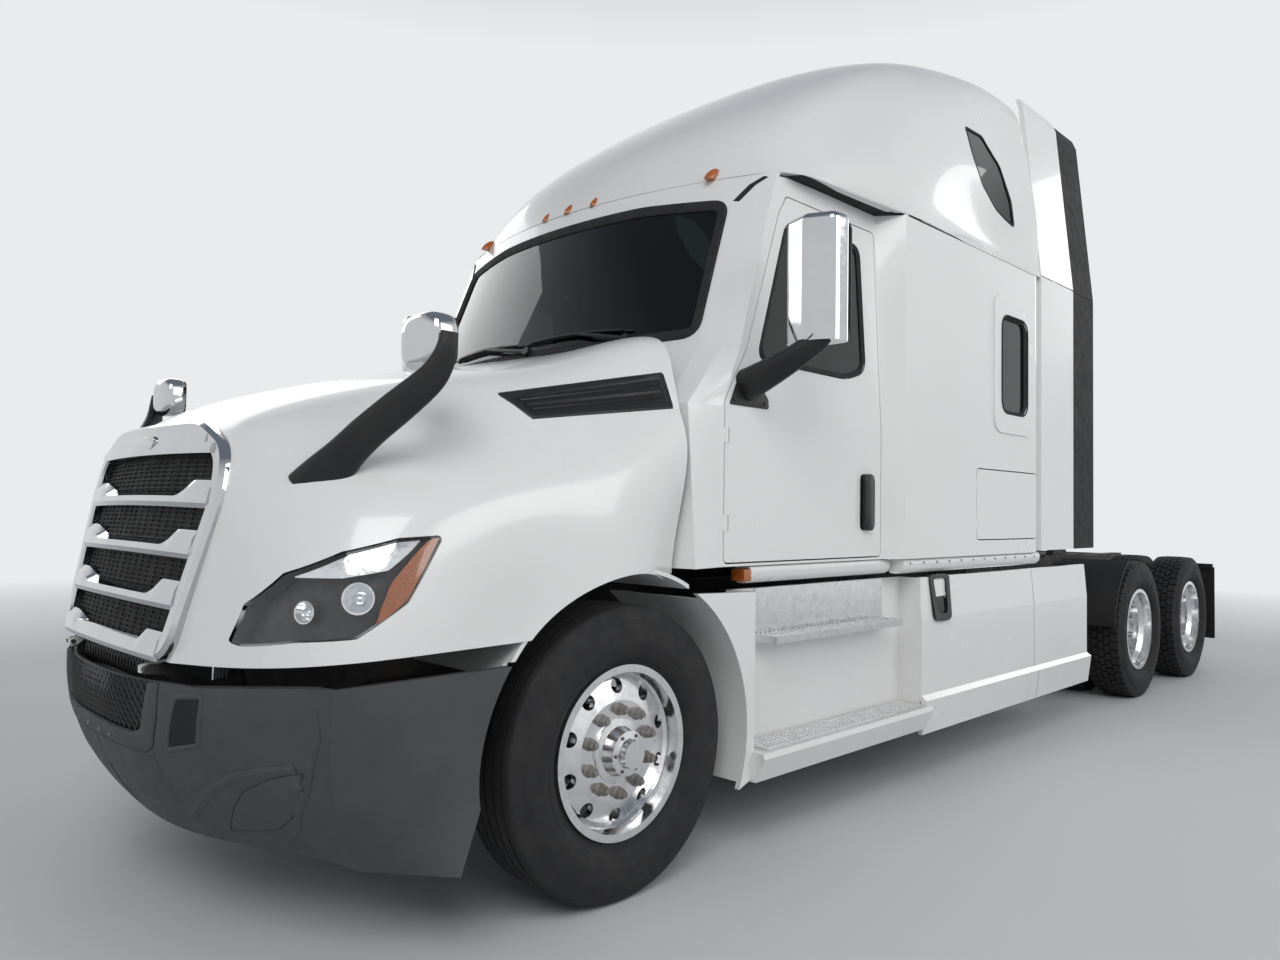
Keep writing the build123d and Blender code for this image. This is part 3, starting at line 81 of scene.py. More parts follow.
# The photograph's camera, solved from the vehicle's standard wheels
CAMERA_PLACE = (AXLE_X + 2.2489, 3.4399, 1.3293)
CAMERA_YAW = -2.3608
CAMERA_PITCH = 0.0338
CAMERA_ROLL = 0.0146
CAMERA_LENS_MM = 26.116
SENSOR_MM = 36


# Materials


def feed(tree, socket, value):
    """Links an output into a socket, or sets the socket's own value."""
    if isinstance(value, bpy.types.NodeSocket):
        tree.links.new(value, socket)
    else:
        socket.default_value = value


def add_node(tree, kind, **inputs):
    node = tree.nodes.new(kind)
    for label, value in inputs.items():
        feed(tree, node.inputs[label.replace("_", " ")], value)
    return node


def combined(tree, operation, first, second):
    """One number from two, by a named operation of the maths node."""
    node = tree.nodes.new("ShaderNodeMath")
    node.operation = operation
    feed(tree, node.inputs[0], first)
    feed(tree, node.inputs[1], second)
    return node.outputs["Value"]


def mixed_shader(tree, factor, first, second):
    node = add_node(tree, "ShaderNodeMixShader", Fac=factor)
    feed(tree, node.inputs[1], first)
    feed(tree, node.inputs[2], second)
    return node.outputs["Shader"]


def colour_ramp(tree, factor, stops):
    """A colour ramp of two (position, colour) stops."""
    node = add_node(tree, "ShaderNodeValToRGB", Fac=factor)
    for element, (position, colour) in zip(node.color_ramp.elements, stops):
        element.position = position
        element.color = (*colour, 1.0)
    return node.outputs["Color"]


class Nodes:
    """A material's node tree with short helpers for its procedural detail."""

    def __init__(self, name, **sockets):
        self.material = bpy.data.materials.new(name)
        self.material.use_nodes = True
        self.tree = self.material.node_tree
        self.shader = self.tree.nodes["Principled BSDF"]
        for label, value in sockets.items():
            self.shader.inputs[label.replace("_", " ")].default_value = value

    def add(self, kind, **inputs):
        return add_node(self.tree, kind, **inputs)

    def place(self):
        return self.add("ShaderNodeTexCoord").outputs["Object"]

    def noise(self, scale, detail, stretch=None):
        vector = self.place()
        if stretch:
            vector = self.add("ShaderNodeMapping", Vector=vector, Scale=stretch).outputs["Vector"]
        node = self.add("ShaderNodeTexNoise", Vector=vector, Scale=scale, Detail=detail,
                        Roughness=0.6)
        return node.outputs["Fac"]

    def field(self, scale, detail=None):
        """A noise, or round cells where there is no detail."""
        if detail is not None:
            return self.noise(scale, detail)
        node = self.add("ShaderNodeTexVoronoi", Vector=self.place(), Scale=scale)
        return node.outputs["Distance"]

    def ramp(self, factor, stops):
        return colour_ramp(self.tree, factor, stops)

    def grey_ramp(self, factor, stops):
        return self.ramp(factor, [(position, (value,) * 3) for position, value in stops])

    def mix(self, factor, first, second):
        node = self.tree.nodes.new("ShaderNodeMix")
        node.data_type = "RGBA"
        for index, value in ((0, factor), (6, first), (7, second)):
            value = (*value, 1.0) if isinstance(value, tuple) else value
            feed(self.tree, node.inputs[index], value)
        return node.outputs[2]

    def height_fade(self, low, high):
        """1 below low, falling to 0 at high, up the vehicle's Z."""
        split = self.add("ShaderNodeSeparateXYZ", Vector=self.place())
        node = self.add("ShaderNodeMapRange", Value=split.outputs["Z"],
                        From_Min=low, From_Max=high, To_Min=1.0, To_Max=0.0)
        return node.outputs["Result"]

    def multiply(self, first, second):
        return combined(self.tree, "MULTIPLY", first, second)

    def colour(self, socket):
        self.tree.links.new(socket, self.shader.inputs["Base Color"])

    def roughness(self, socket):
        self.tree.links.new(socket, self.shader.inputs["Roughness"])

    def bump(self, height, strength, distance):
        node = self.add("ShaderNodeBump", Height=height, Strength=strength, Distance=distance)
        self.tree.links.new(node.outputs["Normal"], self.shader.inputs["Normal"])


def surface(name, tones, rough, relief=None, share=None, **sockets):
    """A material of two tones spread by noise, with its own roughness and relief.

    tones is (field, (low, high), first, second): the field runs from the first tone at low to the
    second at high. With a share, the second only lies over the first in patches, up to that share.
    rough is (field, (low, high), smooth, coarse) and relief is (field, strength, distance in m).
    A field is (scale, detail) of a noise, or (scale,) of round cells.
    """
    m = Nodes(name, **sockets)
    field, (low, high), first, second = tones
    if share is None:
        m.colour(m.ramp(m.field(*field), [(low, first), (high, second)]))
    else:
        m.colour(m.mix(m.grey_ramp(m.field(*field), [(low, 0.0), (high, share)]), first, second))
    field, (low, high), smooth, coarse = rough
    m.roughness(m.grey_ramp(m.field(*field), [(low, smooth), (high, coarse)]))
    if relief:
        field, strength, distance = relief
        m.bump(m.field(*field), strength, distance)
    return m.material


def white_paint():
    """Clear-coated white, with a little road dust low down."""
    m = Nodes("white_paint", Coat_Weight=0.6, Coat_Roughness=0.06, Specular_IOR_Level=0.5)
    clean = m.ramp(m.noise(1.3, 3.0), [(0.3, (0.785, 0.785, 0.77)), (0.7, (0.80, 0.80, 0.79))])
    dust = m.multiply(m.height_fade(0.25, 1.15), m.noise(3.0, 3.0, stretch=(1.0, 1.0, 0.35)))
    dusty = m.grey_ramp(dust, [(0.15, 0.0), (0.75, 0.18)])
    m.colour(m.mix(dusty, clean, (0.52, 0.49, 0.44)))
    m.roughness(m.grey_ramp(m.noise(2.5, 2.0), [(0.3, 0.25), (0.75, 0.28)]))
    m.bump(m.noise(220.0, 2.0), 0.02, 0.0004)
    return m.material


def plastic(name, colour, dusty, smooth=0.5, coarse=0.68, grain=900.0):
    return surface(name, ((5.0, 6.0), (0.35, 0.8), colour, dusty),
                   ((14.0, 5.0), (0.3, 0.7), smooth, coarse), ((grain,), 0.35, 0.0006), share=0.55,
                   Specular_IOR_Level=0.4)


def rubber(name, colour, dusty):
    return surface(name, ((7.0, 7.0), (0.45, 0.9), colour, dusty),
                   ((18.0, 5.0), (0.3, 0.7), 0.62, 0.85), ((420.0, 4.0), 0.25, 0.0008), share=0.35,
                   Specular_IOR_Level=0.35)


def cast_metal(name, colour, rust):
    return surface(name, ((16.0, 8.0), (0.42, 0.75), colour, rust),
                   ((40.0, 5.0), (0.3, 0.7), 0.45, 0.78), ((260.0, 6.0), 0.5, 0.001), share=0.8,
                   Metallic=0.5)


def bright_metal(name, tones, rough, relief=None, share=None):
    return surface(name, tones, rough, relief, share, Metallic=1.0)


def coloured_lens(name, first, second, cells, clear):
    return surface(name, ((60.0, 3.0), (0.3, 0.7), first, second),
                   ((40.0, 3.0), (0.4, 0.8), 0.10, 0.22), ((cells,), 0.5, 0.002),
                   Coat_Weight=0.8, Transmission_Weight=clear, IOR=1.49)


PAINT = white_paint()
BUMPER_PLASTIC = plastic("bumper_plastic", (0.058, 0.060, 0.063), (0.095, 0.093, 0.090), 0.5, 0.66)
BLACK_PLASTIC = plastic("black_plastic", (0.011, 0.011, 0.012), (0.028, 0.027, 0.026), 0.34, 0.5)
GLOSS_BLACK = plastic("gloss_black", (0.008, 0.008, 0.009), (0.02, 0.02, 0.02), 0.12, 0.25, 300.0)
CABIN_PLASTIC = plastic("cabin_plastic", (0.07, 0.07, 0.072), (0.11, 0.108, 0.105), 0.55, 0.7)
LAMP_BLACK = plastic("lamp_black", (0.03, 0.031, 0.034), (0.06, 0.06, 0.065), 0.22, 0.36, 500.0)
# Near-black, darker than the black plastic, as painted shade inside openings: it fills the bumper's
# side inlets and the hood vents' slots, and deepens the grille mesh's and slats' own black. It also
# colours the dark seams and joints.
PAINTED_SHADE_AND_JOINT_BLACK = plastic("painted_shade_and_joint_black", (0.0045, 0.0045, 0.005), (0.010, 0.010, 0.010), 0.6, 0.8)
RUBBER = rubber("tyre_rubber", (0.016, 0.016, 0.017), (0.050, 0.047, 0.043))
SEAL = rubber("seal_rubber", (0.014, 0.014, 0.015), (0.035, 0.034, 0.032))
CAST = cast_metal("cast_iron", (0.11, 0.105, 0.10), (0.13, 0.085, 0.055))
NUT_STEEL = cast_metal("nut_steel", (0.27, 0.262, 0.25), (0.17, 0.125, 0.085))
STEEL = surface("chassis_steel",
                ((6.0, 8.0), (0.42, 0.8), (0.022, 0.022, 0.024), (0.10, 0.085, 0.068)),
                ((30.0, 5.0), (0.3, 0.7), 0.42, 0.75), ((160.0, 6.0), 0.3, 0.001), share=0.75,
                Specular_IOR_Level=0.4)
CHROME = bright_metal("chrome", ((4.0, 3.0), (0.3, 0.7), (0.55, 0.56, 0.58), (0.61, 0.62, 0.63)),
                      ((30.0, 5.0), (0.4, 0.8), 0.035, 0.11), ((8.0, 2.0), 0.03, 0.004))
ALUMINIUM = bright_metal("polished_aluminium",
                         ((26.0, 8.0), (0.45, 0.8), (0.80, 0.80, 0.81), (0.50, 0.48, 0.45)),
                         ((40.0, 6.0), (0.35, 0.75), 0.12, 0.30), ((300.0, 2.0), 0.06, 0.0005),
                         share=0.5)
REFLECTOR = bright_metal("lamp_reflector",
                         ((9.0, 3.0), (0.3, 0.7), (0.74, 0.76, 0.78), (0.86, 0.87, 0.88)),
                         ((50.0, 4.0), (0.4, 0.8), 0.08, 0.20), ((60.0,), 0.25, 0.002))
MIRROR = bright_metal("mirror_pane",
                      ((5.0, 2.0), (0.3, 0.7), (0.80, 0.82, 0.84), (0.768, 0.7872, 0.8064)),
                      ((25.0, 4.0), (0.45, 0.9), 0.02, 0.07))
GLASS = surface("tinted_glass",
                ((2.0, 2.0), (0.3, 0.7), (0.10, 0.12, 0.12), (0.092, 0.1104, 0.1104)),
                ((12.0, 6.0), (0.45, 0.9), 0.0, 0.06), Transmission_Weight=1.0, IOR=1.45)
LENS = surface("clear_lens", ((3.0, 2.0), (0.3, 0.7), (0.93, 0.94, 0.95), (0.98, 0.98, 0.98)),
               ((14.0, 6.0), (0.45, 0.9), 0.0, 0.08), Transmission_Weight=1.0, IOR=1.35)
AMBER = coloured_lens("amber_lens", (0.50, 0.11, 0.008), (0.62, 0.17, 0.015), 180.0, 0.3)
RED_LENS = coloured_lens("red_lens", (0.50, 0.010, 0.008), (0.62, 0.018, 0.012), 160.0, 0.25)
PLATE = surface("plate_paint", ((20.0, 5.0), (0.3, 0.75), (0.62, 0.62, 0.61), (0.70, 0.70, 0.69)),
                ((30.0, 4.0), (0.3, 0.7), 0.35, 0.5), Coat_Weight=0.4)
SEAT_FABRIC = surface("seat_fabric",
                      ((1500.0,), (0.2, 0.7), (0.075, 0.075, 0.08), (0.15, 0.15, 0.155)),
                      ((60.0, 4.0), (0.3, 0.7), 0.8, 0.95), ((1500.0,), 0.5, 0.0006), share=1.0,
                      Sheen_Weight=0.4, Specular_IOR_Level=0.2)

LOOKS = (
    (PAINT, "cab_shell roof_cap hood fairings side_extenders left_door right_door"),
    (PAINT, "left_luggage_door right_luggage_door"),
    (BUMPER_PLASTIC, "bumper"),
    (BLACK_PLASTIC, "bumper_grille hood_vents hood_mirror_arms left_mirror_arm right_mirror_arm"),
    (BLACK_PLASTIC, "mudguards"),
    # The grille's mesh is near-black: its own black, deepened to paint the shade behind the bars.
    (PAINTED_SHADE_AND_JOINT_BLACK, "grille_mesh"),
    (CABIN_PLASTIC, "dashboard steering_wheel"),
    (CHROME, "grille hood_mirror_shells left_mirror_shell right_mirror_shell"),
    (ALUMINIUM, "front_left_rim front_right_rim forward_left_rims forward_right_rims"),
    (ALUMINIUM, "rearward_left_rims rearward_right_rims tread_plates deck_plate fuel_tanks"),
    (ALUMINIUM, "radiator"),
    (RUBBER, "front_left_tyre front_right_tyre forward_left_tyres forward_right_tyres"),
    (RUBBER, "rearward_left_tyres rearward_right_tyres extender_strips"),
    (STEEL, "frame_rails front_axle front_springs drive_axles rear_suspension driveline"),
    (STEEL, "step_boxes fifth_wheel_base fifth_wheel"),
    (CAST, "engine left_knuckle right_knuckle tie_rod"),
    (GLASS, "cab_glass left_door_glass right_door_glass"),
    (LENS, "headlamps"),
    (AMBER, "lamps"),
    (SEAT_FABRIC, "seats"),
)


def dress_nodes():
    """Gives each carried-over CAD node its procedural material."""
    for material, names in LOOKS:
        for name in names.split():
            slots = NODES[name].material_slots
            for slot in slots:
                slot.material = material
            if not slots:
                NODES[name].data.materials.append(material)


# Forms: a form is the vertices and the faces of one or more closed surfaces


def joined(forms):
    """One form from several."""
    vertices, faces = [], []
    for points, rings in forms:
        start = len(vertices)
        vertices += [tuple(v) for v in points]
        faces += [tuple(i + start for i in ring) for ring in rings]
    return vertices, faces


def mirrored(form):
    """The same form on the vehicle's other side."""
    return [(v[0], -v[1], v[2]) for v in form[0]], [tuple(reversed(f)) for f in form[1]]


def piece(name, forms, material, body, sharp=35, replaces=()):
    """One mesh of closed forms, smooth except at edges sharper than an angle, riding on a body."""
    vertices, faces = joined(forms)
    mesh = bpy.data.meshes.new(name)
    mesh.from_pydata([tuple(map(float, v)) for v in vertices], [], faces)
    mesh.materials.append(material)
    mesh.polygons.foreach_set("use_smooth", [True] * len(mesh.polygons))
    mesh.set_sharp_from_angle(angle=radians(sharp))
    mesh.validate()
    made = bpy.data.objects.new(name, mesh)
    bpy.context.scene.collection.objects.link(made)
    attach(made, body)
    if replaces:
        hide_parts(*replaces)
    return made


def both_sides(name, forms, material, body, **options):
    """The same forms on the left and, mirrored, on the right; body is one name or one for each."""
    left, right = (body, body) if isinstance(body, str) else body
    piece(f"left_{name}", forms, material, left, **options)
    piece(f"right_{name}", [mirrored(form) for form in forms], material, right, **options)


def bands(rows, width, looped=False, spans=None):
    """Quads between rows of width points each; looped joins the last row to the first."""
    faces = []
    for i in range(rows if looped else rows - 1):
        a, b = i * width, (i + 1) % rows * width
        for j in range(spans or width):
            k = (j + 1) % width
            faces.append((a + j, a + k, b + k, b + j))
    return faces


def column(rows, width):
    """Bands between closed rings, with both ends capped."""
    last = (rows - 1) * width
    return bands(rows, width) + [tuple(reversed(range(width))), tuple(range(last, last + width))]


def turns(count):
    """Even angles round a circle."""
    return [2 * pi * k / count for k in range(count)]


def outwards(vertices, faces):
    """The same form with its faces turned outwards."""
    mesh = bmesh.new()
    made = [mesh.verts.new(v) for v in vertices]
    for face in faces:
        if len(set(face)) > 2:
            mesh.faces.new([made[i] for i in face])
    return taken(mesh)


def taken(mesh):
    """The form of a bmesh, which is freed."""
    bmesh.ops.recalc_face_normals(mesh, faces=mesh.faces[:])
    mesh.verts.index_update()
    vertices = [v.co.copy() for v in mesh.verts]
    faces = [[v.index for v in f.verts] for f in mesh.faces]
    mesh.free()
    return vertices, faces


def bevelled(mesh, edges, offset):
    """The form of a bmesh with some edges cut back."""
    if offset:
        bmesh.ops.bevel(mesh, geom=edges, offset=offset, segments=2, profile=0.6, affect="EDGES")
    return taken(mesh)


def lathe(profile, segments, closed):
    """Revolves (radius, y) points about the Y axis; a closed profile makes a ring."""
    count = len(profile)
    vertices = [(r * sin(a), y, r * cos(a)) for a in turns(segments) for r, y in profile]
    faces = bands(segments, count, looped=True, spans=count if closed else count - 1)
    if not closed:
        faces.append([i * count for i in range(segments)])
        faces.append([i * count + count - 1 for i in reversed(range(segments))])
    return vertices, faces


def turned_about(x, z, face_y, profile, segments, twist=0.0):
    """A turned solid of (radius, height) points on an axis along Y, standing on face_y."""
    vertices = []
    for r, h in profile:
        for turn in turns(segments):
            angle = turn + twist
            vertices.append((x + r * sin(angle), face_y + h, z + r * cos(angle)))
    return vertices, column(len(profile), segments)


def tube(points, radii, sides):
    """A round tube along a path; radii is one number or one for each point."""
    path = [Vector(p) for p in points]
    if not isinstance(radii, (list, tuple)):
        radii = [radii] * len(path)
    vertices, side = [], None
    for i, point in enumerate(path):
        ahead = (path[min(i + 1, len(path) - 1)] - path[max(i - 1, 0)]).normalized()
        start = side if side is not None else ahead.orthogonal()
        side = (start - ahead * start.dot(ahead)).normalized()
        up = ahead.cross(side)
        vertices += [point + radii[i] * (cos(a) * side + sin(a) * up) for a in turns(sides)]
    return vertices, column(len(path), sides)


def block(low, high, bevel):
    """A box between two corners with its edges cut back by bevel."""
    mesh = bmesh.new()
    bmesh.ops.create_cube(mesh, size=1.0)
    low, high = Vector(low), Vector(high)
    for vertex in mesh.verts:
        vertex.co = Vector([lo + (c + 0.5) * (hi - lo) for c, lo, hi in zip(vertex.co, low, high)])
    return bevelled(mesh, mesh.edges[:], bevel)


def prism(outline, place, depth0, depth1, bevel=0.0):
    """A flat outline carried from depth0 to depth1; place turns (u, v, depth) into a point."""
    mesh = bmesh.new()
    front = [mesh.verts.new(place(u, v, depth1)) for u, v in outline]
    back = [mesh.verts.new(place(u, v, depth0)) for u, v in outline]
    count = len(outline)
    top = mesh.faces.new(front)
    mesh.faces.new(back[::-1])
    for i in range(count):
        mesh.faces.new((front[i], back[i], back[(i + 1) % count], front[(i + 1) % count]))
    return bevelled(mesh, list(top.edges), bevel)


def rounded(points, radius, steps=6):
    """A closed outline with each corner turned into an arc of about the given radius."""
    result = []
    for i, point in enumerate(points):
        here = Vector(point)
        before = Vector(points[i - 1]) - here
        after = Vector(points[(i + 1) % len(points)]) - here
        reach = min(radius, 0.45 * before.length, 0.45 * after.length)
        a, b = here + before.normalized() * reach, here + after.normalized() * reach
        for k in range(steps + 1):
            t = k / steps
            result.append(tuple((1 - t) ** 2 * a + 2 * t * (1 - t) * here + t * t * b))
    return result


def dense(points, step):
    """The same closed outline with long sides divided."""
    result = []
    for i, point in enumerate(points):
        here, ahead = Vector(point), Vector(points[(i + 1) % len(points)])
        parts = max(1, int((ahead - here).length / step))
        result += [tuple(here.lerp(ahead, k / parts)) for k in range(parts)]
    return result


def soft(points, radius, step, steps=6):
    """A closed outline with rounded corners and divided sides."""
    return dense(rounded(points, radius, steps), step)


def grown(points, distance):
    """A closed outline moved outwards along its own normals (inwards if distance is negative)."""
    area = sum(a[0] * b[1] - b[0] * a[1] for a, b in zip(points, points[1:] + points[:1]))
    sign = 1 if area > 0 else -1
    result = []
    for i, (u, v) in enumerate(points):
        ahead = (Vector(points[(i + 1) % len(points)]) - Vector(points[i - 1])).normalized()
        result.append((u + sign * distance * ahead.y, v - sign * distance * ahead.x))
    return result


def signed_power(value, exponent):
    return abs(value) ** exponent * (1 if value >= 0 else -1)


def read_off(table, at):
    """The value at one place of a table of (place, value) rows."""
    return float(np.interp(at, *zip(*table)))


# Tyres and wheels

CROWN_DROP, CROWN_HALF = 0.0035, 0.104
WALL_HALF_WIDTHS = ((0.302, 0.098), (0.335, 0.126), (0.375, 0.1395), (0.425, 0.1365),
                    (0.465, 0.124), (0.482, 0.1185))
WALL_RINGS = ((0.314, 0.322), (0.345, 0.352), (0.440, 0.449))
RING_LIFT = 0.0011
BEAD = [(0.2848, -0.096), (0.2848, 0.096)]
STEER_GROOVES = (-0.082, -0.040, 0.0, 0.040, 0.082)
STEER_GROOVE_DEPTH = 0.012
DRIVE_TREAD_DEPTH = 0.018
DRIVE_ROWS = (
    # inner y, outer y, groove slant as an angle, share of the pitch filled
    (-0.0165, 0.0165, 0.010, 0.80),
    (0.0235, 0.0590, -0.012, 0.78),
    (0.0670, 0.1135, 0.006, 0.80),
)
DRIVE_PITCHES = 52
BUTTRESS_R, BUTTRESS_Y = 0.468, 0.1235

# (radius, height) sections of what stands on the wheels
NUT_FLANGE = [(0.0225, -0.002), (0.0225, 0.0035), (0.0175, 0.0075)]
NUT_HEXAGON = [(0.0185, 0.0065), (0.0185, 0.027), (0.0155, 0.030)]
STUD_END = [(0.0104, 0.029), (0.0104, 0.038), (0.0088, 0.0402)]
CAP_BOLT = [(0.0062, -0.001), (0.0062, 0.005), (0.005, 0.006)]
CAP_RING = [(0.046, 0.004), (0.0495, 0.004), (0.0495, 0.012), (0.046, 0.012)]
FLANGE_BOLT = [(0.0085, -0.001), (0.0085, 0.008), (0.007, 0.0095)]
FLANGE_CENTRE = [(0.026, -0.001), (0.026, 0.006), (0.021, 0.010)]


def crown_r(floor_r, y):
    """The radius of a surface that is highest at the tyre's middle."""
    return floor_r - CROWN_DROP * (y / CROWN_HALF) ** 2


def tyre_profile(grooves, groove_depth, floor_r):
    """The closed section of a tyre as (radius, y), with raised rings on its walls."""
    wall = [(float(r), read_off(WALL_HALF_WIDTHS, r)) for r in np.linspace(0.303, 0.482, 19)]
    for low, high in WALL_RINGS:
        ring = ((low - 0.001, 0.0), (low, RING_LIFT), (high, RING_LIFT), (high + 0.001, 0.0))
        wall += [(r, read_off(WALL_HALF_WIDTHS, r) + lift) for r, lift in ring]
    wall.sort()
    shoulder = [(0.4905, 0.1165), (0.4965, 0.111), (0.4995, 0.104)]
    if floor_r < 0.5:
        shoulder = [(floor_r - 0.004, 0.1165), (floor_r, 0.108)]
    crown = []
    edges = {g + away for g in grooves for away in (-0.006, -0.0045, 0.0045, 0.006)}
    for y in sorted(edges, reverse=True):
        sunk = any(abs(y - g) < 0.005 for g in grooves)
        crown.append((crown_r(floor_r, y) - (groove_depth if sunk else 0.0), y))
    return BEAD + wall + shoulder + crown + [(r, -y) for r, y in reversed(wall + shoulder)]


def drive_tyre():
    """A carcass with rows of tread blocks set round it."""
    floor_r = TYRE_R - DRIVE_TREAD_DEPTH
    forms = [lathe(tyre_profile((), 0.0, floor_r), 104, True)]
    pitch = 2 * pi / DRIVE_PITCHES
    for row, (y0, y1, slant, fill) in enumerate(DRIVE_ROWS):
        for side in ((1,) if row == 0 else (1, -1)):
            for i in range(DRIVE_PITCHES):
                start = (i + 0.5 * (row % 2) + (0.25 if side < 0 else 0.0)) * pitch
                forms.append(tread_block(start, pitch * fill, side * y0, side * y1, slant * side,
                                         floor_r, shoulder=row == 2))
    return joined(forms)


def tread_block(start, width, y0, y1, slant, floor_r, shoulder):
    """A block with a curved top and slanted ends, and on the shoulder a buttress down the wall."""
    corners = []
    for y, shift in ((y0, 0.0), (y1, slant)):
        top = crown_r(TYRE_R, y)
        if shoulder and abs(y) > 0.1:
            top -= 0.002
        for angle in (start + shift, start + shift + width / 2, start + shift + width):
            for r in (floor_r - 0.004, top):
                corners.append((r * sin(angle), y, r * cos(angle)))
    faces = [(0, 1, 3, 2), (2, 3, 5, 4), (1, 7, 9, 3), (3, 9, 11, 5), (0, 6, 7, 1), (4, 5, 11, 10)]
    if shoulder:
        low_y = BUTTRESS_Y if y1 > 0 else -BUTTRESS_Y
        for angle in (start + slant, start + slant + width / 2, start + slant + width):
            corners.append((BUTTRESS_R * sin(angle), low_y, BUTTRESS_R * cos(angle)))
        faces += [(7, 9, 13, 12), (9, 11, 14, 13), (6, 7, 12), (10, 14, 11)]
        faces += [(0, 2, 8, 6), (2, 4, 10, 8), (6, 12, 13, 8), (8, 13, 14, 10)]
    else:
        faces += [(6, 8, 9, 7), (8, 10, 11, 9), (0, 2, 8, 6), (2, 4, 10, 8)]
    if y1 < y0:
        faces = [tuple(reversed(f)) for f in faces]
    return corners, faces


def wheel_nuts(face_y):
    """Ten flanged nuts on their studs, standing on a disc face."""
    forms = []
    for i, angle in enumerate(turns(STUDS)):
        x, z = BOLT_CIRCLE_R * sin(angle), BOLT_CIRCLE_R * cos(angle)
        forms.append(turned_about(x, z, face_y, NUT_FLANGE, 20))
        forms.append(turned_about(x, z, face_y, NUT_HEXAGON, 6, twist=0.35 * i))
        forms.append(turned_about(x, z, face_y, STUD_END, 12))
    return joined(forms)


def bolt_circle(face_y, radius, angles, bolt, centre, segments):
    """Small bolts round a middle form, standing on a hub face."""
    forms = [turned_about(radius * sin(a), radius * cos(a), face_y, bolt, 6) for a in angles]
    return joined(forms + [turned_about(0.0, 0.0, face_y, centre, segments)])


def placed(form, name, material, body, side, x, y=0.0, **options):
    """Stands a form drawn about the Y axis on an axle, on the left or mirrored to the right."""
    form = [(v[0] + AXLE_X + x, v[1] + y, v[2] + TYRE_R) for v in form[0]], form[1]
    piece(name, [form if side > 0 else mirrored(form)], material, body, **options)


def wheels():
    """Treads for every tyre, nuts for every rim, and the ends of the hubs."""
    steer = lathe(tyre_profile(STEER_GROOVES, STEER_GROOVE_DEPTH, TYRE_R - 0.0002), 144, True)
    drive = drive_tyre()
    pair = joined(([(x, y + offset, z) for x, y, z in drive[0]], drive[1])
                  for offset in (DUAL_SPACING / 2, -DUAL_SPACING / 2))
    between = [2 * pi * (i + 0.5) / 6 for i in range(6)]
    hub_cap = bolt_circle(HUB_CAP_Y, 0.064, between, CAP_BOLT, CAP_RING, 32)
    flange = bolt_circle(AXLE_FLANGE_Y, 0.046, turns(8), FLANGE_BOLT, FLANGE_CENTRE, 24)
    steer_nuts, drive_nuts = wheel_nuts(STEER_NUTS_Y), wheel_nuts(DRIVE_NUTS_Y)
    for label, side in (("left", 1), ("right", -1)):
        front, body = f"front_{label}", f"front_{label}_wheel"
        placed(steer, f"{front}_tread", RUBBER, body, side, 0.0, STEER_WHEEL_Y,
               replaces=(f"{front}_tyre",))
        placed(steer_nuts, f"{front}_nuts", NUT_STEEL, body, side, 0.0)
        placed(hub_cap, f"{front}_hub_cap", CAST, body, side, 0.0)
        for axle, x in zip(("forward", "rearward"), DRIVE_X):
            rear, body = f"{axle}_{label}", f"{axle}_{label}_wheels"
            placed(pair, f"{rear}_treads", RUBBER, body, side, x, DUAL_Y,
                   replaces=(f"{rear}_tyres",))
            placed(drive_nuts, f"{rear}_nuts", NUT_STEEL, body, side, x)
            placed(flange, f"{rear}_flange", CAST, body, side, x)


# Drawing on the CAD surfaces

DRAW_IN = 0.004  # share of the way to an outline's middle that each new try moves


@cache
def target(*names):
    """Ray targets made from CAD nodes where they stand."""
    trees = []
    for name in names:
        mesh = bmesh.new()
        mesh.from_mesh(NODES[name].data)
        trees.append(BVHTree.FromBMesh(mesh))
        mesh.free()
    return trees


def hit(trees, start, toward):
    """Nearest place on the targets and the normal that faces the ray, or None."""
    if callable(trees):
        return trees(start, toward)
    best = None
    for tree in trees:
        place, normal, _, distance = tree.ray_cast(Vector(start), Vector(toward))
        if place is not None and (best is None or distance < best[2]):
            best = (place, normal if normal.dot(Vector(toward)) < 0 else -normal, distance)
    return best and best[:2]


def from_left(u, v):
    return (AXLE_X + u / 1000, 2.0, v / 1000), (0, -1, 0)


def from_front(u, v):
    return (AXLE_X + 2.0, u / 1000, v / 1000), (-1, 0, 0)


def from_rear(u, v):
    return (AXLE_X - 9.0, u / 1000, v / 1000), (1, 0, 0)


def from_cab(u, v):
    return (AXLE_X - 1.0, u / 1000, v / 1000), (1, 0, 0)


def draped(points, view, trees, middle):
    """Each outline point's place and normal on the targets; a miss is drawn towards the middle."""
    found = []
    for u, v in points:
        tries = [(u + (middle[0] - u) * DRAW_IN * k, v + (middle[1] - v) * DRAW_IN * k)
                 for k in range(12)]
        tries += [(u, v + nudge) for nudge in (-4, 4, -8, 8)]
        got = None
        while tries and not got:
            got = hit(trees, *view(*tries.pop(0)))
        if got or found:
            found.append(got or found[-1])
    return found


def ring_on(outline, view, trees, section):
    """A closed ring along an outline; section is (grow in mm, lift in mm) points in order."""
    middle = tuple(np.mean(outline, axis=0))
    laid = {g: draped(grown(outline, g), view, trees, middle) for g in {g for g, _ in section}}
    vertices = []
    for i in range(len(outline)):
        for g, lift in section:
            place, normal = laid[g][i]
            vertices.append(place + normal * (lift / 1000))
    return outwards(vertices, bands(len(outline), len(section), looped=True))


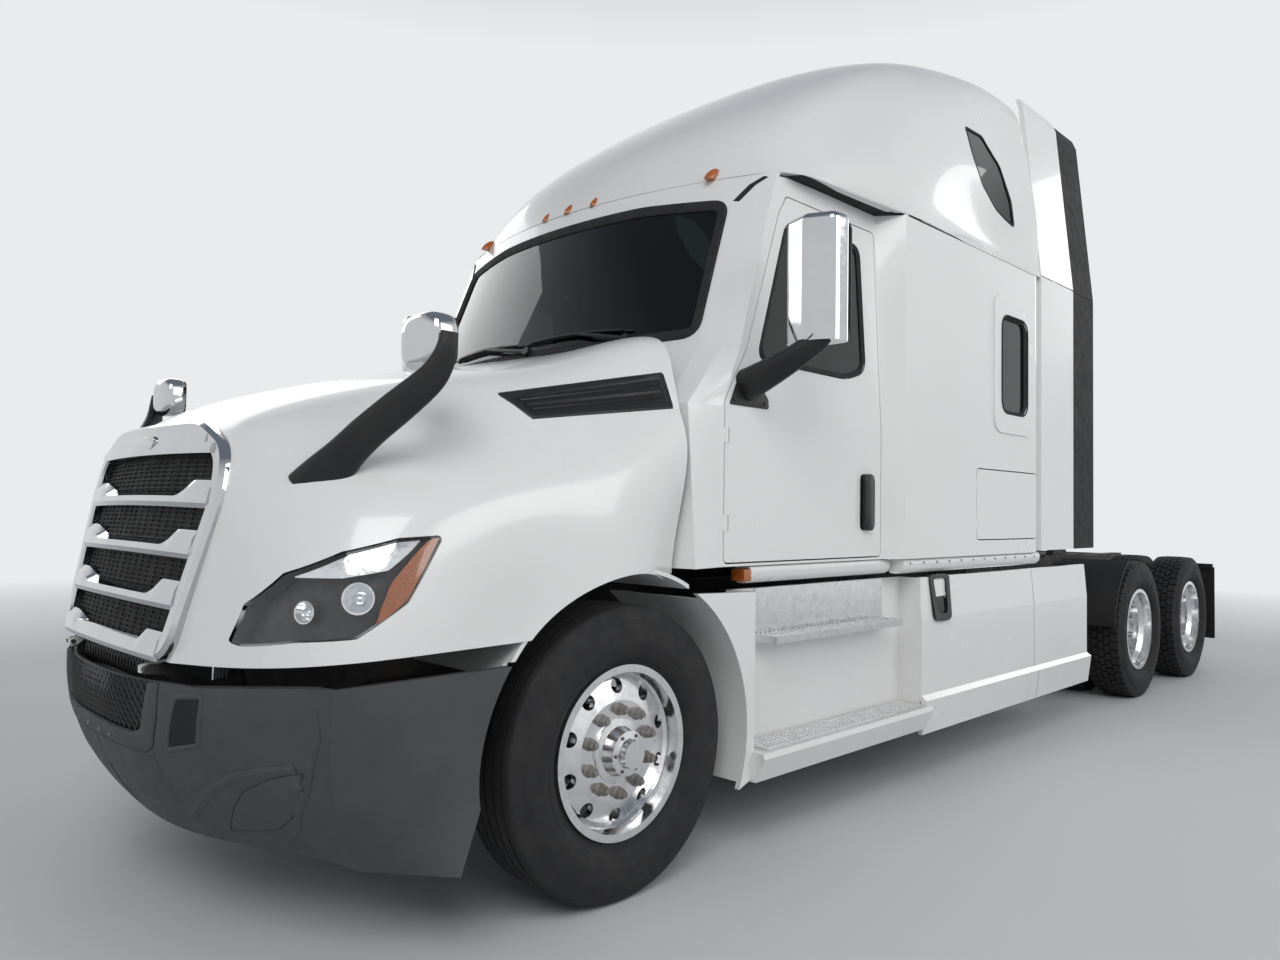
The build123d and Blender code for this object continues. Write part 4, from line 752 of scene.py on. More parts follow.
def strip_on(path, view, trees, half, lift, step=25):
    """A narrow raised line along an open path; half its width and its lift are in mm."""
    points = []
    for a, b in zip(path, path[1:]):
        parts = max(1, int((Vector(b) - Vector(a)).length / step))
        points += [tuple(Vector(a).lerp(Vector(b), k / parts)) for k in range(parts)]
    points.append(path[-1])
    vertices = []
    for i, point in enumerate(points):
        ahead = Vector(points[min(i + 1, len(points) - 1)]) - Vector(points[max(i - 1, 0)])
        side = Vector((ahead.y, -ahead.x)).normalized() * half
        row = (tuple(Vector(point) - side), point, tuple(Vector(point) + side))
        low, mid, high = (draped([place], view, trees, point)[0] for place in row)
        # Each edge starts 1 mm inside the surface and stands a third as high as the middle
        vertices += [low[0] - low[1] / 1000, low[0] + low[1] * lift / 3000]
        vertices += [mid[0] + mid[1] * lift / 1000, high[0] + high[1] * lift / 3000]
        vertices.append(high[0] - high[1] / 1000)
    return outwards(vertices, column(len(points), 5))


def sheet_on(outline, view, trees, upper, lower, rim, shares):
    """A closed sheet that follows the surface, with its faces at heights upper and lower in mm.

    It is made of rings, each a share of the outline's size; rim is the first one's upper height.
    """
    middle = tuple(np.mean(outline, axis=0))
    tops, bottoms = [], []
    for k, share in enumerate([*shares, 0.0]):
        ring = [(middle[0] + (u - middle[0]) * share, middle[1] + (v - middle[1]) * share)
                for u, v in (outline if share else [middle])]
        for place, normal in draped(ring, view, trees, middle):
            tops.append(place + normal * (upper if k else rim) / 1000)
            bottoms.append(place + normal * lower / 1000)
    size, count, faces = len(tops), len(outline), []
    for quad in bands(len(shares), count):
        faces += [quad, tuple(size + j for j in reversed(quad))]
    last = (len(shares) - 1) * count
    for i in range(count):
        n = (i + 1) % count
        faces += [(last + i, last + n, size - 1), (size + last + n, size + last + i, 2 * size - 1)]
        faces.append((n, i, size + i, size + n))
    return outwards(tops + bottoms, faces)


def pad_on(outline, view, trees, lift, sink, rings, edge=0.0):
    """A pad that stands lift over the surface and sink in it; edge drops its rim."""
    shares = [1.0 - k / rings for k in range(rings)]
    return sheet_on(outline, view, trees, lift, -sink, lift - edge, shares)


def bolts_at(places, axis, radius, height, sides=6):
    """Small bolt heads at (x, y, z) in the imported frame, standing along an axis vector."""
    forms = []
    axis = Vector(axis).normalized()
    first = axis.orthogonal().normalized()
    second = axis.cross(first)
    for place in places:
        rows = []
        for r, h in ((radius, -0.001), (radius, 0.75 * height), (0.8 * radius, height)):
            rows += [Vector(place) + axis * h + r * (cos(a) * first + sin(a) * second)
                     for a in turns(sides)]
        forms.append((rows, column(3, sides)))
    return joined(forms)


def buttons_at(places, section):
    """Raised rings on a level plate, of a closed (radius, height) section."""
    ring, faces = lathe(section, 8, True)
    return outwards(*joined(([(x + a, y + c, z + b) for a, b, c in ring], faces)
                            for x, y, z in places))


def frame_between(outer, inner, place, depth0, depth1):
    """A flat frame whose outer and inner outlines are matched by direction from the middle."""
    middle = np.mean(outer, axis=0)
    angles = np.linspace(0, 2 * pi, 72, endpoint=False)

    def at_angles(outline):
        points = np.array(outline + outline[:1])
        turned = np.unwrap(np.arctan2(points[:, 1] - middle[1], points[:, 0] - middle[0]))
        if turned[-1] < turned[0]:
            points, turned = points[::-1], turned[::-1]
        span = (angles - turned[0]) % (2 * pi) + turned[0]
        return np.stack([np.interp(span, turned, points[:, k]) for k in (0, 1)], 1)

    vertices = []
    for a, b in zip(at_angles(outer), at_angles(inner)):
        vertices += [place(*a, depth0), place(*a, depth1), place(*b, depth1), place(*b, depth0)]
    return outwards(vertices, bands(len(angles), 4, looped=True))


# Windows

SCREEN = [(-955, 2052), (-500, 2032), (500, 2032), (955, 2052),
          (918, 2655), (500, 2690), (-500, 2690), (-918, 2655)]
DOOR_WINDOW = [(-745, 1955), (-975, 2575), (-1545, 2590), (-1560, 2000), (-1400, 1950)]
SLEEPER_WINDOW = [(-2852, 1917), (-2852, 2465), (-3196, 2465), (-3196, 1917)]
ROOF_WINDOW = [(-2610, 3490), (-2850, 3510), (-3070, 3400), (-3180, 3210), (-3215, 3060),
               (-3000, 3120), (-2810, 3215), (-2680, 3350)]
# Sections of the seals, as (grow, lift) points in mm
BROAD_SEAL = [(16, -2), (16, 3), (5, 9), (-6, 15), (-16, 12), (-30, 4), (-30, -1)]
NARROW_SEAL = [(9, -2), (9, 2), (3, 6), (-5, 12), (-16, 5), (-16, -1)]
FINE_SEAL = [(5, -2), (5, 1.5), (-4, 6), (-9, 5), (-9, -1)]


def windows():
    """Rubber seals round every pane."""
    cab = target("cab_shell", "cab_glass")
    screen = ring_on(soft(SCREEN, 62, 40), from_front, cab, BROAD_SEAL)
    piece("windscreen_seal", [screen], SEAL, "chassis")
    roof = target("roof_cap", "cab_glass")
    sides = [ring_on(soft(SLEEPER_WINDOW, 82, 40), from_left, cab, NARROW_SEAL),
             ring_on(soft(ROOF_WINDOW, 24, 40), from_left, roof, FINE_SEAL)]
    both_sides("sleeper_seals", sides, SEAL, "chassis")
    door = target("left_door", "left_door_glass")
    seal = ring_on(soft(DOOR_WINDOW, 62, 40), from_left, door, NARROW_SEAL)
    both_sides("door_window_seal", [seal], SEAL, DOORS)


WIPER_STEPS = 14
WIPER_Z, WIPER_RISE = 2092, 14


def wipers():
    """Two arms with blades, parked along the foot of the windscreen."""
    trees, forms = target("cab_glass"), []
    for y0, y1, pivot in ((20, 660, 640), (-640, 0, 60)):
        path = []
        for k in range(WIPER_STEPS + 1):
            rise = WIPER_RISE * sin(pi * k / WIPER_STEPS)
            y = y0 + (y1 - y0) * k / WIPER_STEPS
            path.append(hit(trees, *from_front(y, WIPER_Z + rise)))
        radii = [0.005 + 0.004 * sin(pi * k / (WIPER_STEPS - 2)) for k in range(WIPER_STEPS - 1)]
        base = hit(trees, *from_front(pivot, 2050))
        grip = path[WIPER_STEPS // 2][0] + path[WIPER_STEPS // 2][1] * 0.024
        low = base[0] + base[1] * 0.022
        elbow = low.lerp(grip, 0.35) + Vector((0.012, 0, 0))
        forms += [tube([p + n * 0.007 for p, n in path], 0.006, 6),
                  tube([p + n * 0.017 for p, n in path[1:-1]], radii, 6),
                  tube([low, elbow, grip], [0.013, 0.010, 0.007], 8),
                  tube([base[0] - base[1] * 0.001, base[0] + base[1] * 0.034], [0.022, 0.020], 12)]
    piece("wipers", forms, BLACK_PLASTIC, "chassis")


# Front end

HEADLAMP = [(745, 1254), (870, 1245), (1001, 1206), (1107, 1144), (1166, 1053),
            (1197, 932), (1106, 960), (992, 972), (861, 1066)]
AMBER_PART = [(760, 1248), (862, 1074), (925, 1024), (948, 1010), (905, 1120), (835, 1200),
              (792, 1240)]
SILVER_PART = [(812, 1241), (872, 1235), (990, 1199), (1098, 1134), (1012, 1136), (905, 1158),
               (850, 1204)]
REFLECTORS = (
    # place from the left in mm, radius in m, and aim
    (985, 1082, 0.042, (0.62, 0.78, 0.0)),
    (1092, 1042, 0.030, (0.9, 0.43, 0.0)),
)
BOWL_SUNK, BOWL_DEPTH = 0.016, 0.034
COVER_SHARES = [1.0, 0.975] + [0.975 * (1 - k / 6) for k in range(1, 6)]
# A reflector's section, in shares of its radius and depth
BOWL = [(0.35, -0.92), (0.55, -0.75), (0.8, -0.4), (0.95, 0.0), (1.06, 0.02), (1.08, -0.06),
        (0.92, -0.55), (0.6, -0.95), (0.35, -1.08)]


def lamp_sheet(outline, top, bottom, rim_top=None):
    """A sheet of a headlamp between depths top and bottom, in mm below the lamp's surface."""
    rim = top if rim_top is None else rim_top
    return sheet_on(outline, from_left, target("headlamps"), -top, -bottom, -rim, COVER_SHARES)


def bowl(place, axis, radius, depth):
    """A round reflector: a thick cup with a domed bulb cover in its middle."""
    cup = lathe([(r * radius, h * depth) for r, h in BOWL], 32, True)
    dome = [(0.38 * radius * cos(a), 0.5 * radius * sin(a) - 0.9 * depth)
            for a in np.linspace(-0.3, 1.45, 8)]
    vertices, faces = joined([cup, lathe(dome, 24, False)])
    turn = Vector((0, 1, 0)).rotation_difference(Vector(axis).normalized()).to_matrix()
    return outwards([turn @ Vector(v) + Vector(place) for v in vertices], faces)


def headlamps():
    """Clear covers over dark housings with a bright strip, two bowls and an amber corner."""
    outline = soft(grown(HEADLAMP, -4), 10, 22, 4)
    both_sides("headlamp_cover", [lamp_sheet(outline, 0.5, 3.5)], LENS, "hood",
               replaces=("headlamps",), sharp=50)
    both_sides("headlamp_housing", [lamp_sheet(outline, 52, 66, 5)], LAMP_BLACK, "hood", sharp=40)
    both_sides("turn_lamp", [lamp_sheet(soft(AMBER_PART, 8, 22, 4), 6, 40)], AMBER, "hood")
    bright = [lamp_sheet(soft(SILVER_PART, 8, 22, 4), 9, 46)]
    for u, v, radius, axis in REFLECTORS:
        place, normal = hit(target("headlamps"), *from_left(u, v))
        aim = (Vector(axis) + normal).normalized()
        bright.append(bowl(place - normal * BOWL_SUNK, aim, radius, BOWL_DEPTH))
    both_sides("headlamp_reflectors", bright, REFLECTOR, "hood")


GRILLE_TILT = atan2(150, 740)
GRILLE_BOW_R = 5000
GRILLE_HALF = ((30, 495), (500, 590), (640, 560), (715, 380))
GRILLE_LINE = [(-495, 30), (-590, 500), (-560, 640), (-380, 715)]
GRILLE_LINE += [(-u, v) for u, v in reversed(GRILLE_LINE)]
# The surround's section: how far outside the opening's line, and how far forward
RING_SECTION = ((33, 14), (33, 48), (20, 60), (-18, 58), (-24, 50), (-24, -38), (-1, -38), (-1, 14))
BAR_HEIGHTS = (26, 182, 338, 494)
BADGE = [(-82, -24), (82, -24), (92, 0), (82, 24), (-82, 24), (-92, 0)]


def on_grille(u, v, w):
    """A point on the raked, gently bowed front, from millimetres across, up and out."""
    w -= GRILLE_BOW_R - sqrt(GRILLE_BOW_R ** 2 - u ** 2)
    x = 1257 - v * sin(GRILLE_TILT) + w * cos(GRILLE_TILT)
    z = 860 + v * cos(GRILLE_TILT) + w * sin(GRILLE_TILT)
    return (AXLE_X + x / 1000, u / 1000, z / 1000)


def grille_half_width(v, inset):
    return read_off(GRILLE_HALF, v) - inset


def across_front(half, steps, section):
    """A bar across the front; section gives its (v, w) corners at each u."""
    vertices = []
    for i in range(steps + 1):
        u = -half + 2 * half * i / steps
        corners = section(u)
        vertices += [on_grille(u, *corner) for corner in corners]
    return outwards(vertices, column(steps + 1, len(corners)))


def bar(v_low, v_high, w0, w1, half, steps=24, nose=0.0):
    """A plain bar with a slightly proud leading edge."""
    edge = (0.5 * (v_low + v_high), w1 + nose)
    section = ((v_low, w0), (v_low, w1), edge, (v_high, w1), (v_high, w0))
    return across_front(half, steps, lambda u: section)


def flared_bar(v, half):
    """A bright bar whose top slopes back to the mesh, and rises and comes forward at its ends."""
    def section(u):
        t = min(1.0, max(0.0, (abs(u) - half + 0.42 * half) / (0.20 * half)))
        flare = t * t * (3 - 2 * t)
        return ((v - 30, 24), (v - 30, 54), (v - 16, 63), (v + 4 + 26 * flare, 58 + 3 * flare),
                (v + 26 + 32 * flare, 26 + 24 * flare), (v + 26 + 32 * flare, 24))

    return across_front(half, 48, section)


def grille_surround():
    """The bright frame around the grille's opening, with a chamfered front."""
    line = soft(GRILLE_LINE, 60, 30)
    vertices = [on_grille(u, v, w) for away, w in RING_SECTION for u, v in grown(line, away)]
    return outwards(vertices, bands(len(RING_SECTION), len(line), looped=True))


def grille_upright(u):
    """A thin dark upright through the slats."""
    rows = [(u - 3, 40.0), (u + 3, 40.0), (u + 3, 628.0), (u - 3, 628.0)]
    corners = [on_grille(a, b, w) for w in (8, 25) for a, b in rows]
    return outwards(corners, column(2, 4))


def grille_details():
    """Bright surround, bars and brow, with fine slats and uprights between the bars in near-black:
    their own dark colour, deepened as painted shade in the gaps.
    """
    piece("grille_surround", [grille_surround()], CHROME, "hood", sharp=30, replaces=("grille",))
    bars = [flared_bar(v, grille_half_width(v, 22)) for v in BAR_HEIGHTS]
    piece("grille_bars", bars, CHROME, "hood", sharp=30)
    # The slats and uprights are near-black: their own dark colour, deepened to paint the shade
    # between the bars.
    slats = [bar(v, v + 5.5, 8, 27, grille_half_width(v, 34), 16) for v in np.arange(48, 640, 15.0)]
    slats += [grille_upright(u) for u in np.arange(-480, 481, 60.0)]
    piece("grille_slats", slats, PAINTED_SHADE_AND_JOINT_BLACK, "hood")
    brow = [bar(634, 668, 40, 66, 525, nose=4), bar(664, 700, 40, 62, 470, nose=2)]
    piece("grille_brow", brow, CHROME, "hood")
    badge = prism(rounded(BADGE, 16), lambda u, v, w: on_grille(u, 676 + v, w), 60, 71, 0.002)
    piece("plain_badge", [badge], CHROME, "hood")


FOREMOST_X = CAD_BOX[1][0] - 0.0002
GRILLE_SET_BACK = 0.0166  # of the dark sheet in the opening, behind the bumper's skin
OPENING = [(-425, 796), (-396, 700), (-376, 652), (-338, 634),
           (338, 634), (376, 652), (396, 700), (425, 796)]
SURROUND = [(-478, 799), (-462, 690), (-425, 606), (-370, 582),
            (370, 582), (425, 606), (462, 690), (478, 799)]
# The surround's section: share of the way from the opening outwards, and lift in mm
SURROUND_SECTION = ((0.0, -12.0), (0.0, 2.0), (0.25, 6.0), (0.8, 4.0), (1.0, 0.5), (1.0, -4.0))
# The lower panel's top and foot in mm, by the share of its half width
PANEL_TOP = ((0, 634), (0.80, 634), (0.90, 652), (1.0, 690))
PANEL_FOOT = ((0, 470), (0.84, 470), (1.0, 500))
PANEL_ROWS, PANEL_COLUMNS = 7, 45
OPENING_HALF = ((634, 338), (652, 376), (700, 396), (796, 425))
INLET = [(549, 766), (660, 778), (626, 632), (487, 600)]
INLET_RIM = [(9, -1), (9, 1), (0, 4), (-7, 1), (-7, -1)]
FOLD = [(434, 374), (554, 456), (641, 510), (736, 554), (865, 588), (983, 614)]
OUTER_FOLD = [(1075, 790), (1086, 714), (1006, 565), (856, 402), (737, 326)]
FOG_PANEL = [(552, 341), (658, 438), (744, 508), (851, 558), (929, 584), (1001, 604),
             (985, 540), (879, 448), (786, 393), (693, 367)]


def bumper_face():
    """The bumper's front as one surface, also across its opening, from the sheet set behind it."""
    skin, dark = target("bumper"), target("bumper_grille")

    def find(start, toward):
        front, back = hit(skin, start, toward), hit(dark, start, toward)
        if back and (front is None or back[0].x > front[0].x):
            return back[0] + back[1] * GRILLE_SET_BACK, back[1]
        return front

    return find


def held_back(forms):
    """The same forms, with no point ahead of the vehicle's foremost plane."""
    return [([(min(x, FOREMOST_X), y, z) for x, y, z in points], faces) for points, faces in forms]


def lower_panel(face):
    """The middle panel under the opening."""
    vertices, faces = [], []
    for lift in (1.0, -4.0):
        for k in range(PANEL_ROWS):
            t = k / (PANEL_ROWS - 1)
            for c in np.linspace(-1, 1, PANEL_COLUMNS):
                top, foot = read_off(PANEL_TOP, abs(c)), read_off(PANEL_FOOT, abs(c))
                place, normal = face(*from_front(c * (414 + 14 * t), foot + (top - foot) * t))
                vertices.append(place + normal * lift / 1000)
    count, size = PANEL_COLUMNS, PANEL_ROWS * PANEL_COLUMNS
    for quad in bands(PANEL_ROWS, count, spans=count - 1):
        faces += [quad, tuple(size + j for j in reversed(quad))]
    # The rim runs along the first row, up one end, back along the last row and down the other
    rim = [*range(count), *range(2 * count - 1, size, count)]
    rim += [*range(size - 2, size - count - 1, -1), *range(size - 2 * count, 0, -count)]
    faces += [(b, a, size + a, size + b) for a, b in zip(rim, rim[1:] + rim[:1])]
    return outwards(vertices, faces)


def bumper_surround(face):
    """The raised surround of the bumper's opening, open at its top."""
    vertices = []
    for (u0, v0), (u1, v1) in zip(resampled(OPENING, 70), resampled(SURROUND, 70)):
        for share, lift in SURROUND_SECTION:
            place, normal = face(*from_front(u0 + (u1 - u0) * share, v0 + (v1 - v0) * share))
            vertices.append(place + normal * lift / 1000)
    return outwards(vertices, column(70, len(SURROUND_SECTION)))


def resampled(path, count):
    """An open path as evenly spaced points, with its corners softened."""
    eased = [path[0]]
    for a, b, c in zip(path, path[1:], path[2:]):
        a, b, c = np.array(a), np.array(b), np.array(c)
        for t in (0.3, 0.5, 0.7):
            eased.append(tuple((1 - t) ** 2 * (0.75 * b + 0.25 * a) + 2 * t * (1 - t) * b
                               + t * t * (0.75 * b + 0.25 * c)))
    eased = np.array(eased + [path[-1]])
    run = np.concatenate([[0], np.cumsum(np.hypot(*np.diff(eased, axis=0).T))])
    at = np.linspace(0, run[-1], count)
    return [tuple(p) for p in np.stack([np.interp(at, run, eased[:, k]) for k in (0, 1)], 1)]


def bumper_lattice():
    """Crossed strips over the lower opening, and crossed rods under a bar over the upper one."""
    dark, forms = target("bumper_grille"), []
    for slope in (1, -1):
        for start in range(-560, 561, 34):
            path = []
            for k in range(31):
                v = 630 + 5.5 * k
                u = start + slope * (v - 712) * 0.9
                if abs(u) < read_off(OPENING_HALF, v) and hit(dark, *from_front(u, v)):
                    path.append((u, v))
            if len(path) > 3:
                forms.append(strip_on([path[1], path[-2]], from_front, dark, 5.0, 7, 60))
    for slope in (1, -1):
        for u in range(-352, 353, 32):
            ends = [(AXLE_X + 1.258, (u + slope * k) / 1000, z)
                    for k, z in ((-16, 0.788), (16, 0.846))]
            if max(abs(end[1]) for end in ends) < 0.352:
                forms.append(tube(ends, 0.0045, 4))
    forms.append(block((AXLE_X + 1.250, -0.355, 0.842), (AXLE_X + 1.264, 0.355, 0.850), 0.002))
    return forms


def bumper_details():
    """Lower panel, the opening's surround and mesh, side inlet rims with near-black pads inside as
    painted shade, fog-lamp panels and folds.
    """
    face = bumper_face()
    centre = held_back([lower_panel(face), bumper_surround(face)])
    piece("bumper_centre", centre, BUMPER_PLASTIC, "chassis")
    piece("bumper_mesh", held_back(bumper_lattice()), BLACK_PLASTIC, "chassis")
    screws = []
    for y in (-160, -60, 60, 160):
        place, normal = face(*from_front(y, 604))
        screws.append(bolts_at([place + normal * 0.004], normal, 0.007, 0.004, 10))
    piece("bumper_screws", held_back(screws), NUT_STEEL, "chassis")
    rim = ring_on(soft(INLET, 14, 30, 4), from_front, face, INLET_RIM)
    both_sides("bumper_inlet_rim", [rim], BUMPER_PLASTIC, "chassis")
    # A near-black pad on the face inside each inlet rim paints the shade of the opening.
    painted_inlet_shade = pad_on(soft(grown(INLET, -5), 12, 30, 4), from_front, face, 1.0, 1.5, 3)
    both_sides("bumper_inlet_shade", [painted_inlet_shade], PAINTED_SHADE_AND_JOINT_BLACK, "chassis")
    folds = [strip_on(FOLD, from_front, face, 14, 5, 30),
             pad_on(soft(FOG_PANEL, 30, 30, 4), from_front, face, 3.5, 1.5, 5, 3.0),
             strip_on(OUTER_FOLD, from_front, face, 10, 4, 30)]
    both_sides("bumper_folds", folds, BUMPER_PLASTIC, "chassis", sharp=20)
    seam = strip_on(FOG_PANEL + FOG_PANEL[:1], from_front, face, 2.0, 0.8)
    both_sides("bumper_seams", [seam], PAINTED_SHADE_AND_JOINT_BLACK, "chassis")
    joints = [strip_on([(0, 577), (0, 330)], from_front, face, 1.8, 1.8),
              strip_on(grown(SURROUND, 2), from_front, face, 2.2, 1.8)]
    piece("bumper_joint", joints, PAINTED_SHADE_AND_JOINT_BLACK, "chassis")


VENT = [(372, 1722), (-280, 1855), (-262, 1710), (318, 1630)]
VENT_RING = [(3, -1), (3, 2), (-2, 6), (-18, 5), (-22, 1.5), (-22, -1)]


def on_vent(along, down):
    """A place on the hood vent, as shares of its length and its height."""
    top = Vector(VENT[0]).lerp(Vector(VENT[1]), along)
    return tuple(top.lerp(Vector(VENT[3]).lerp(Vector(VENT[2]), along), down))


def vent_details():
    """A raised dark frame and slim louvres, with two near-black pads that paint the shade of deep
    slots.
    """
    trees = target("hood", "hood_vents")
    bars = [ring_on(soft(grown(VENT, -4), 10, 40, 4), from_left, trees, VENT_RING)]
    for t, half in ((0.5, 7), (0.33, 2.5), (0.67, 2.5)):
        ends = [Vector(VENT[k]).lerp(Vector(VENT[3 - k]), t) for k in (0, 1)]
        line = [tuple(ends[0].lerp(ends[1], share)) for share in (0.06, 0.94)]
        bars.append(strip_on(line, from_left, trees, half, 6, 40))
    both_sides("vent_frame", bars, BLACK_PLASTIC, "hood")
    # Near-black pads, barely proud of the vent, paint the shade of two deep slots.
    slots = []
    for high, low in ((0.20, 0.46), (0.54, 0.80)):
        ring = [on_vent(0.12, high), on_vent(0.88, high), on_vent(0.88, low), on_vent(0.12, low)]
        slots.append(pad_on(soft(ring, 8, 40, 3), from_left, trees, 1.2, 1.0, 2))
    both_sides("vent_slot_shades", slots, PAINTED_SHADE_AND_JOINT_BLACK, "hood")


# Cab and body sides

HANDLE_RECESS = [(-1504, 1256), (-1504, 1517), (-1631, 1517), (-1631, 1256)]
HANDLE_GRIP = [(-1516, 1256), (-1516, 1517), (-1592, 1517), (-1592, 1256)]
LOCK_PLACE = (AXLE_X - 1.613, 1.152, 1.478)
LOCK = [(0.013, -0.002), (0.013, 0.004), (0.010, 0.006)]
ROOF_SEAM = [(-812, 2658), (-833, 2690), (-858, 2728), (-890, 2761), (-983, 2777), (-1300, 2781),
             (-3425, 2781)]
FAIRING_SEAM = [(-3352, 1016), (-3352, 812), (-3356, 446), (-3362, 330), (-3362, 262)]
STRAP = [(-2078, 1030), (-2098, 816), (-2128, 800), (-2242, 800), (-2272, 816), (-2292, 1030)]
STRAP_HOLE = [(-2118, 1012), (-2134, 850), (-2152, 838), (-2218, 838), (-2236, 850), (-2252, 1012)]
BUTTON = [(0.0095, -0.0005), (0.0095, 0.0012), (0.0070, 0.0024), (0.0048, 0.0012),
          (0.0048, -0.0005)]
BUTTON_STEP, BUTTON_ROW_STEP = 0.030, 0.026
TREADS = (
    # top, then the first and last x and y of each step's buttons
    (0.413, -1.93, -0.72, 1.112, 1.240),
    (0.835, -1.785, -0.815, 1.104, 1.192),
)
SILL = [(1130, 1117), (1203, 1117), (1212, 1100), (1206, 1066), (1176, 1046), (1130, 1050)]


def door_details():
    """Black pull handles in their dark recesses, with a lock beside each."""
    def sideways(u, v, w):
        return (AXLE_X + u / 1000, w, v / 1000)

    handle = [prism(rounded(HANDLE_RECESS, 30), sideways, 1.148, 1.1525, 0.002),
              prism(rounded(HANDLE_GRIP, 26), sideways, 1.148, 1.1745, 0.008)]
    both_sides("door_handle", handle, GLOSS_BLACK, DOORS)
    vertices, faces = turned_about(0.0, 0.0, 0.0, LOCK, 20)
    lock = [Vector(v) + Vector(LOCK_PLACE) for v in vertices], faces
    both_sides("door_lock", [lock], NUT_STEEL, DOORS)


def body_seams():
    """Dark seals along the roof seam and the fairings' joint, and the strap on each fairing."""
    seams = [strip_on(ROOF_SEAM, from_left, target("cab_shell", "roof_cap"), 5, 2.2, 40),
             strip_on(FAIRING_SEAM, from_left, target("fairings"), 1.8, 0.7, 20)]
    both_sides("body_seams", seams, SEAL, "chassis")

    def on_fairing(u, v, w):
        return (AXLE_X + u / 1000, w / 1000 - 0.00013 * max(0.0, v - 812), v / 1000)

    plate = prism(rounded(STRAP, 20), on_fairing, 1202, 1213, 0.003)
    ring = frame_between(soft(STRAP, 20, 40), soft(STRAP_HOLE, 16, 40), on_fairing, 1208, 1224)
    both_sides("fairing_strap", [plate, ring], GLOSS_BLACK, "chassis")


def tread_buttons():
    """Raised rings on the bright step plates, each row half a step from the last."""
    places = []
    for top, x0, x1, y0, y1 in TREADS:
        row, y = 0, y0
        while y <= y1:
            x = x0 + (BUTTON_STEP / 2 if row % 2 else 0.0)
            while x <= x1:
                places.append((AXLE_X + x, y, top))
                x += BUTTON_STEP
            y += BUTTON_ROW_STEP
            row += 1
    both_sides("tread_buttons", [buttons_at(places, BUTTON)], ALUMINIUM, "chassis", sharp=30)


def sills():
    """The rounded sills under the cab and sleeper, with their rivets and small side lamps."""
    def along(x0, x1, shift):
        outline = [((u + shift) / 1000, v / 1000) for u, v in soft(SILL, 14, 400, 5)]
        return prism(outline, lambda u, v, w: (AXLE_X + w, u, v), x1, x0)

    both_sides("sill", [along(-1.80, -3.43, 0), along(-0.70, -1.78, -62)], PAINT, "chassis")
    rivets = [(AXLE_X - 1.86 - 0.135 * i, 1.2112, 1.098) for i in range(12)]
    both_sides("sill_rivets", [bolts_at(rivets, (0, 1, 0), 0.006, 0.003, 10)], NUT_STEEL, "chassis")
    lamp = block((AXLE_X - 0.700, 1.085, 1.058), (AXLE_X - 0.652, 1.152, 1.106), 0.006)
    both_sides("side_lamp", [lamp], AMBER, "chassis")


# Mirrors

# x, y, z, half width and half thickness of each arm, in mm from the front axle
HOOD_ARM = (
    (992, 826, 1372, 76, 34), (965, 880, 1425, 70, 30), (936, 936, 1487, 56, 26),
    (900, 1004, 1553, 52, 24), (850, 1081, 1624, 50, 23), (803, 1152, 1692, 44, 21),
    (784, 1182, 1738, 38, 19), (776, 1200, 1786, 30, 17), (772, 1206, 1832, 24, 14),
)
DOOR_ARM = (
    (-655, 1122, 1828, 66, 44), (-655, 1190, 1850, 62, 42), (-668, 1290, 1893, 54, 38),
    (-690, 1385, 1945, 46, 36), (-712, 1448, 1998, 46, 34), (-735, 1484, 2062, 40, 32),
    (-752, 1503, 2130, 28, 30), (-766, 1514, 2205, 10, 26),
)
ARM_POWER = 2.8
HOOD_MIRROR = (AXLE_X + 0.755, 1.078, 1.818)
HOOD_PANE = [(-90, -74), (90, -74), (90, 74), (-90, 74)]
DOOR_PANE = [(1318, 2010), (1318, 2450), (1530, 2450), (1530, 2010)]
MIRROR_FOOT = [(-550, 1752), (-629, 1900), (-694, 1902), (-800, 1792), (-800, 1752)]
ARM_FACING = (0.46, 0.88, -0.10)
HEAD_HALF, HEAD_POWER, HEAD_BACK = (0.056, 0.101, 0.086), 3.4, 0.034


def smooth_path(points, steps=6):
    """More points on a smooth curve through the given ones; each may carry extra numbers."""
    rows = [np.array(p, float) for p in points]
    rows = [2 * rows[0] - rows[1], *rows, 2 * rows[-1] - rows[-2]]
    found = []
    for a, b, c, d in zip(rows, rows[1:], rows[2:], rows[3:]):
        for k in range(steps):
            t = k / steps
            found.append(0.5 * (2 * b + (c - a) * t + (2 * a - 5 * b + 4 * c - d) * t * t
                                + (3 * b - a - 3 * c + d) * t ** 3))
    return found + [rows[-2]]


def blade(stations, sides=24):
    """A flattened arm through (x, y, z, half width, half thickness) stations, broad to one side."""
    rows = smooth_path(stations)
    facing = Vector(ARM_FACING).normalized()
    vertices = []
    for i, row in enumerate(rows):
        ahead = Vector(rows[min(i + 1, len(rows) - 1)][:3] - rows[max(i - 1, 0)][:3]).normalized()
        wide = ahead.cross(facing).normalized()
        thick = wide.cross(ahead).normalized()
        middle = Vector((AXLE_X + row[0] / 1000, row[1] / 1000, row[2] / 1000))
        for angle in turns(sides):
            u, v = (signed_power(part, 2 / ARM_POWER) for part in (cos(angle), sin(angle)))
            vertices.append(middle + wide * (u * row[3] / 1000) + thick * (v * row[4] / 1000))
    return outwards(vertices, column(len(rows), sides))


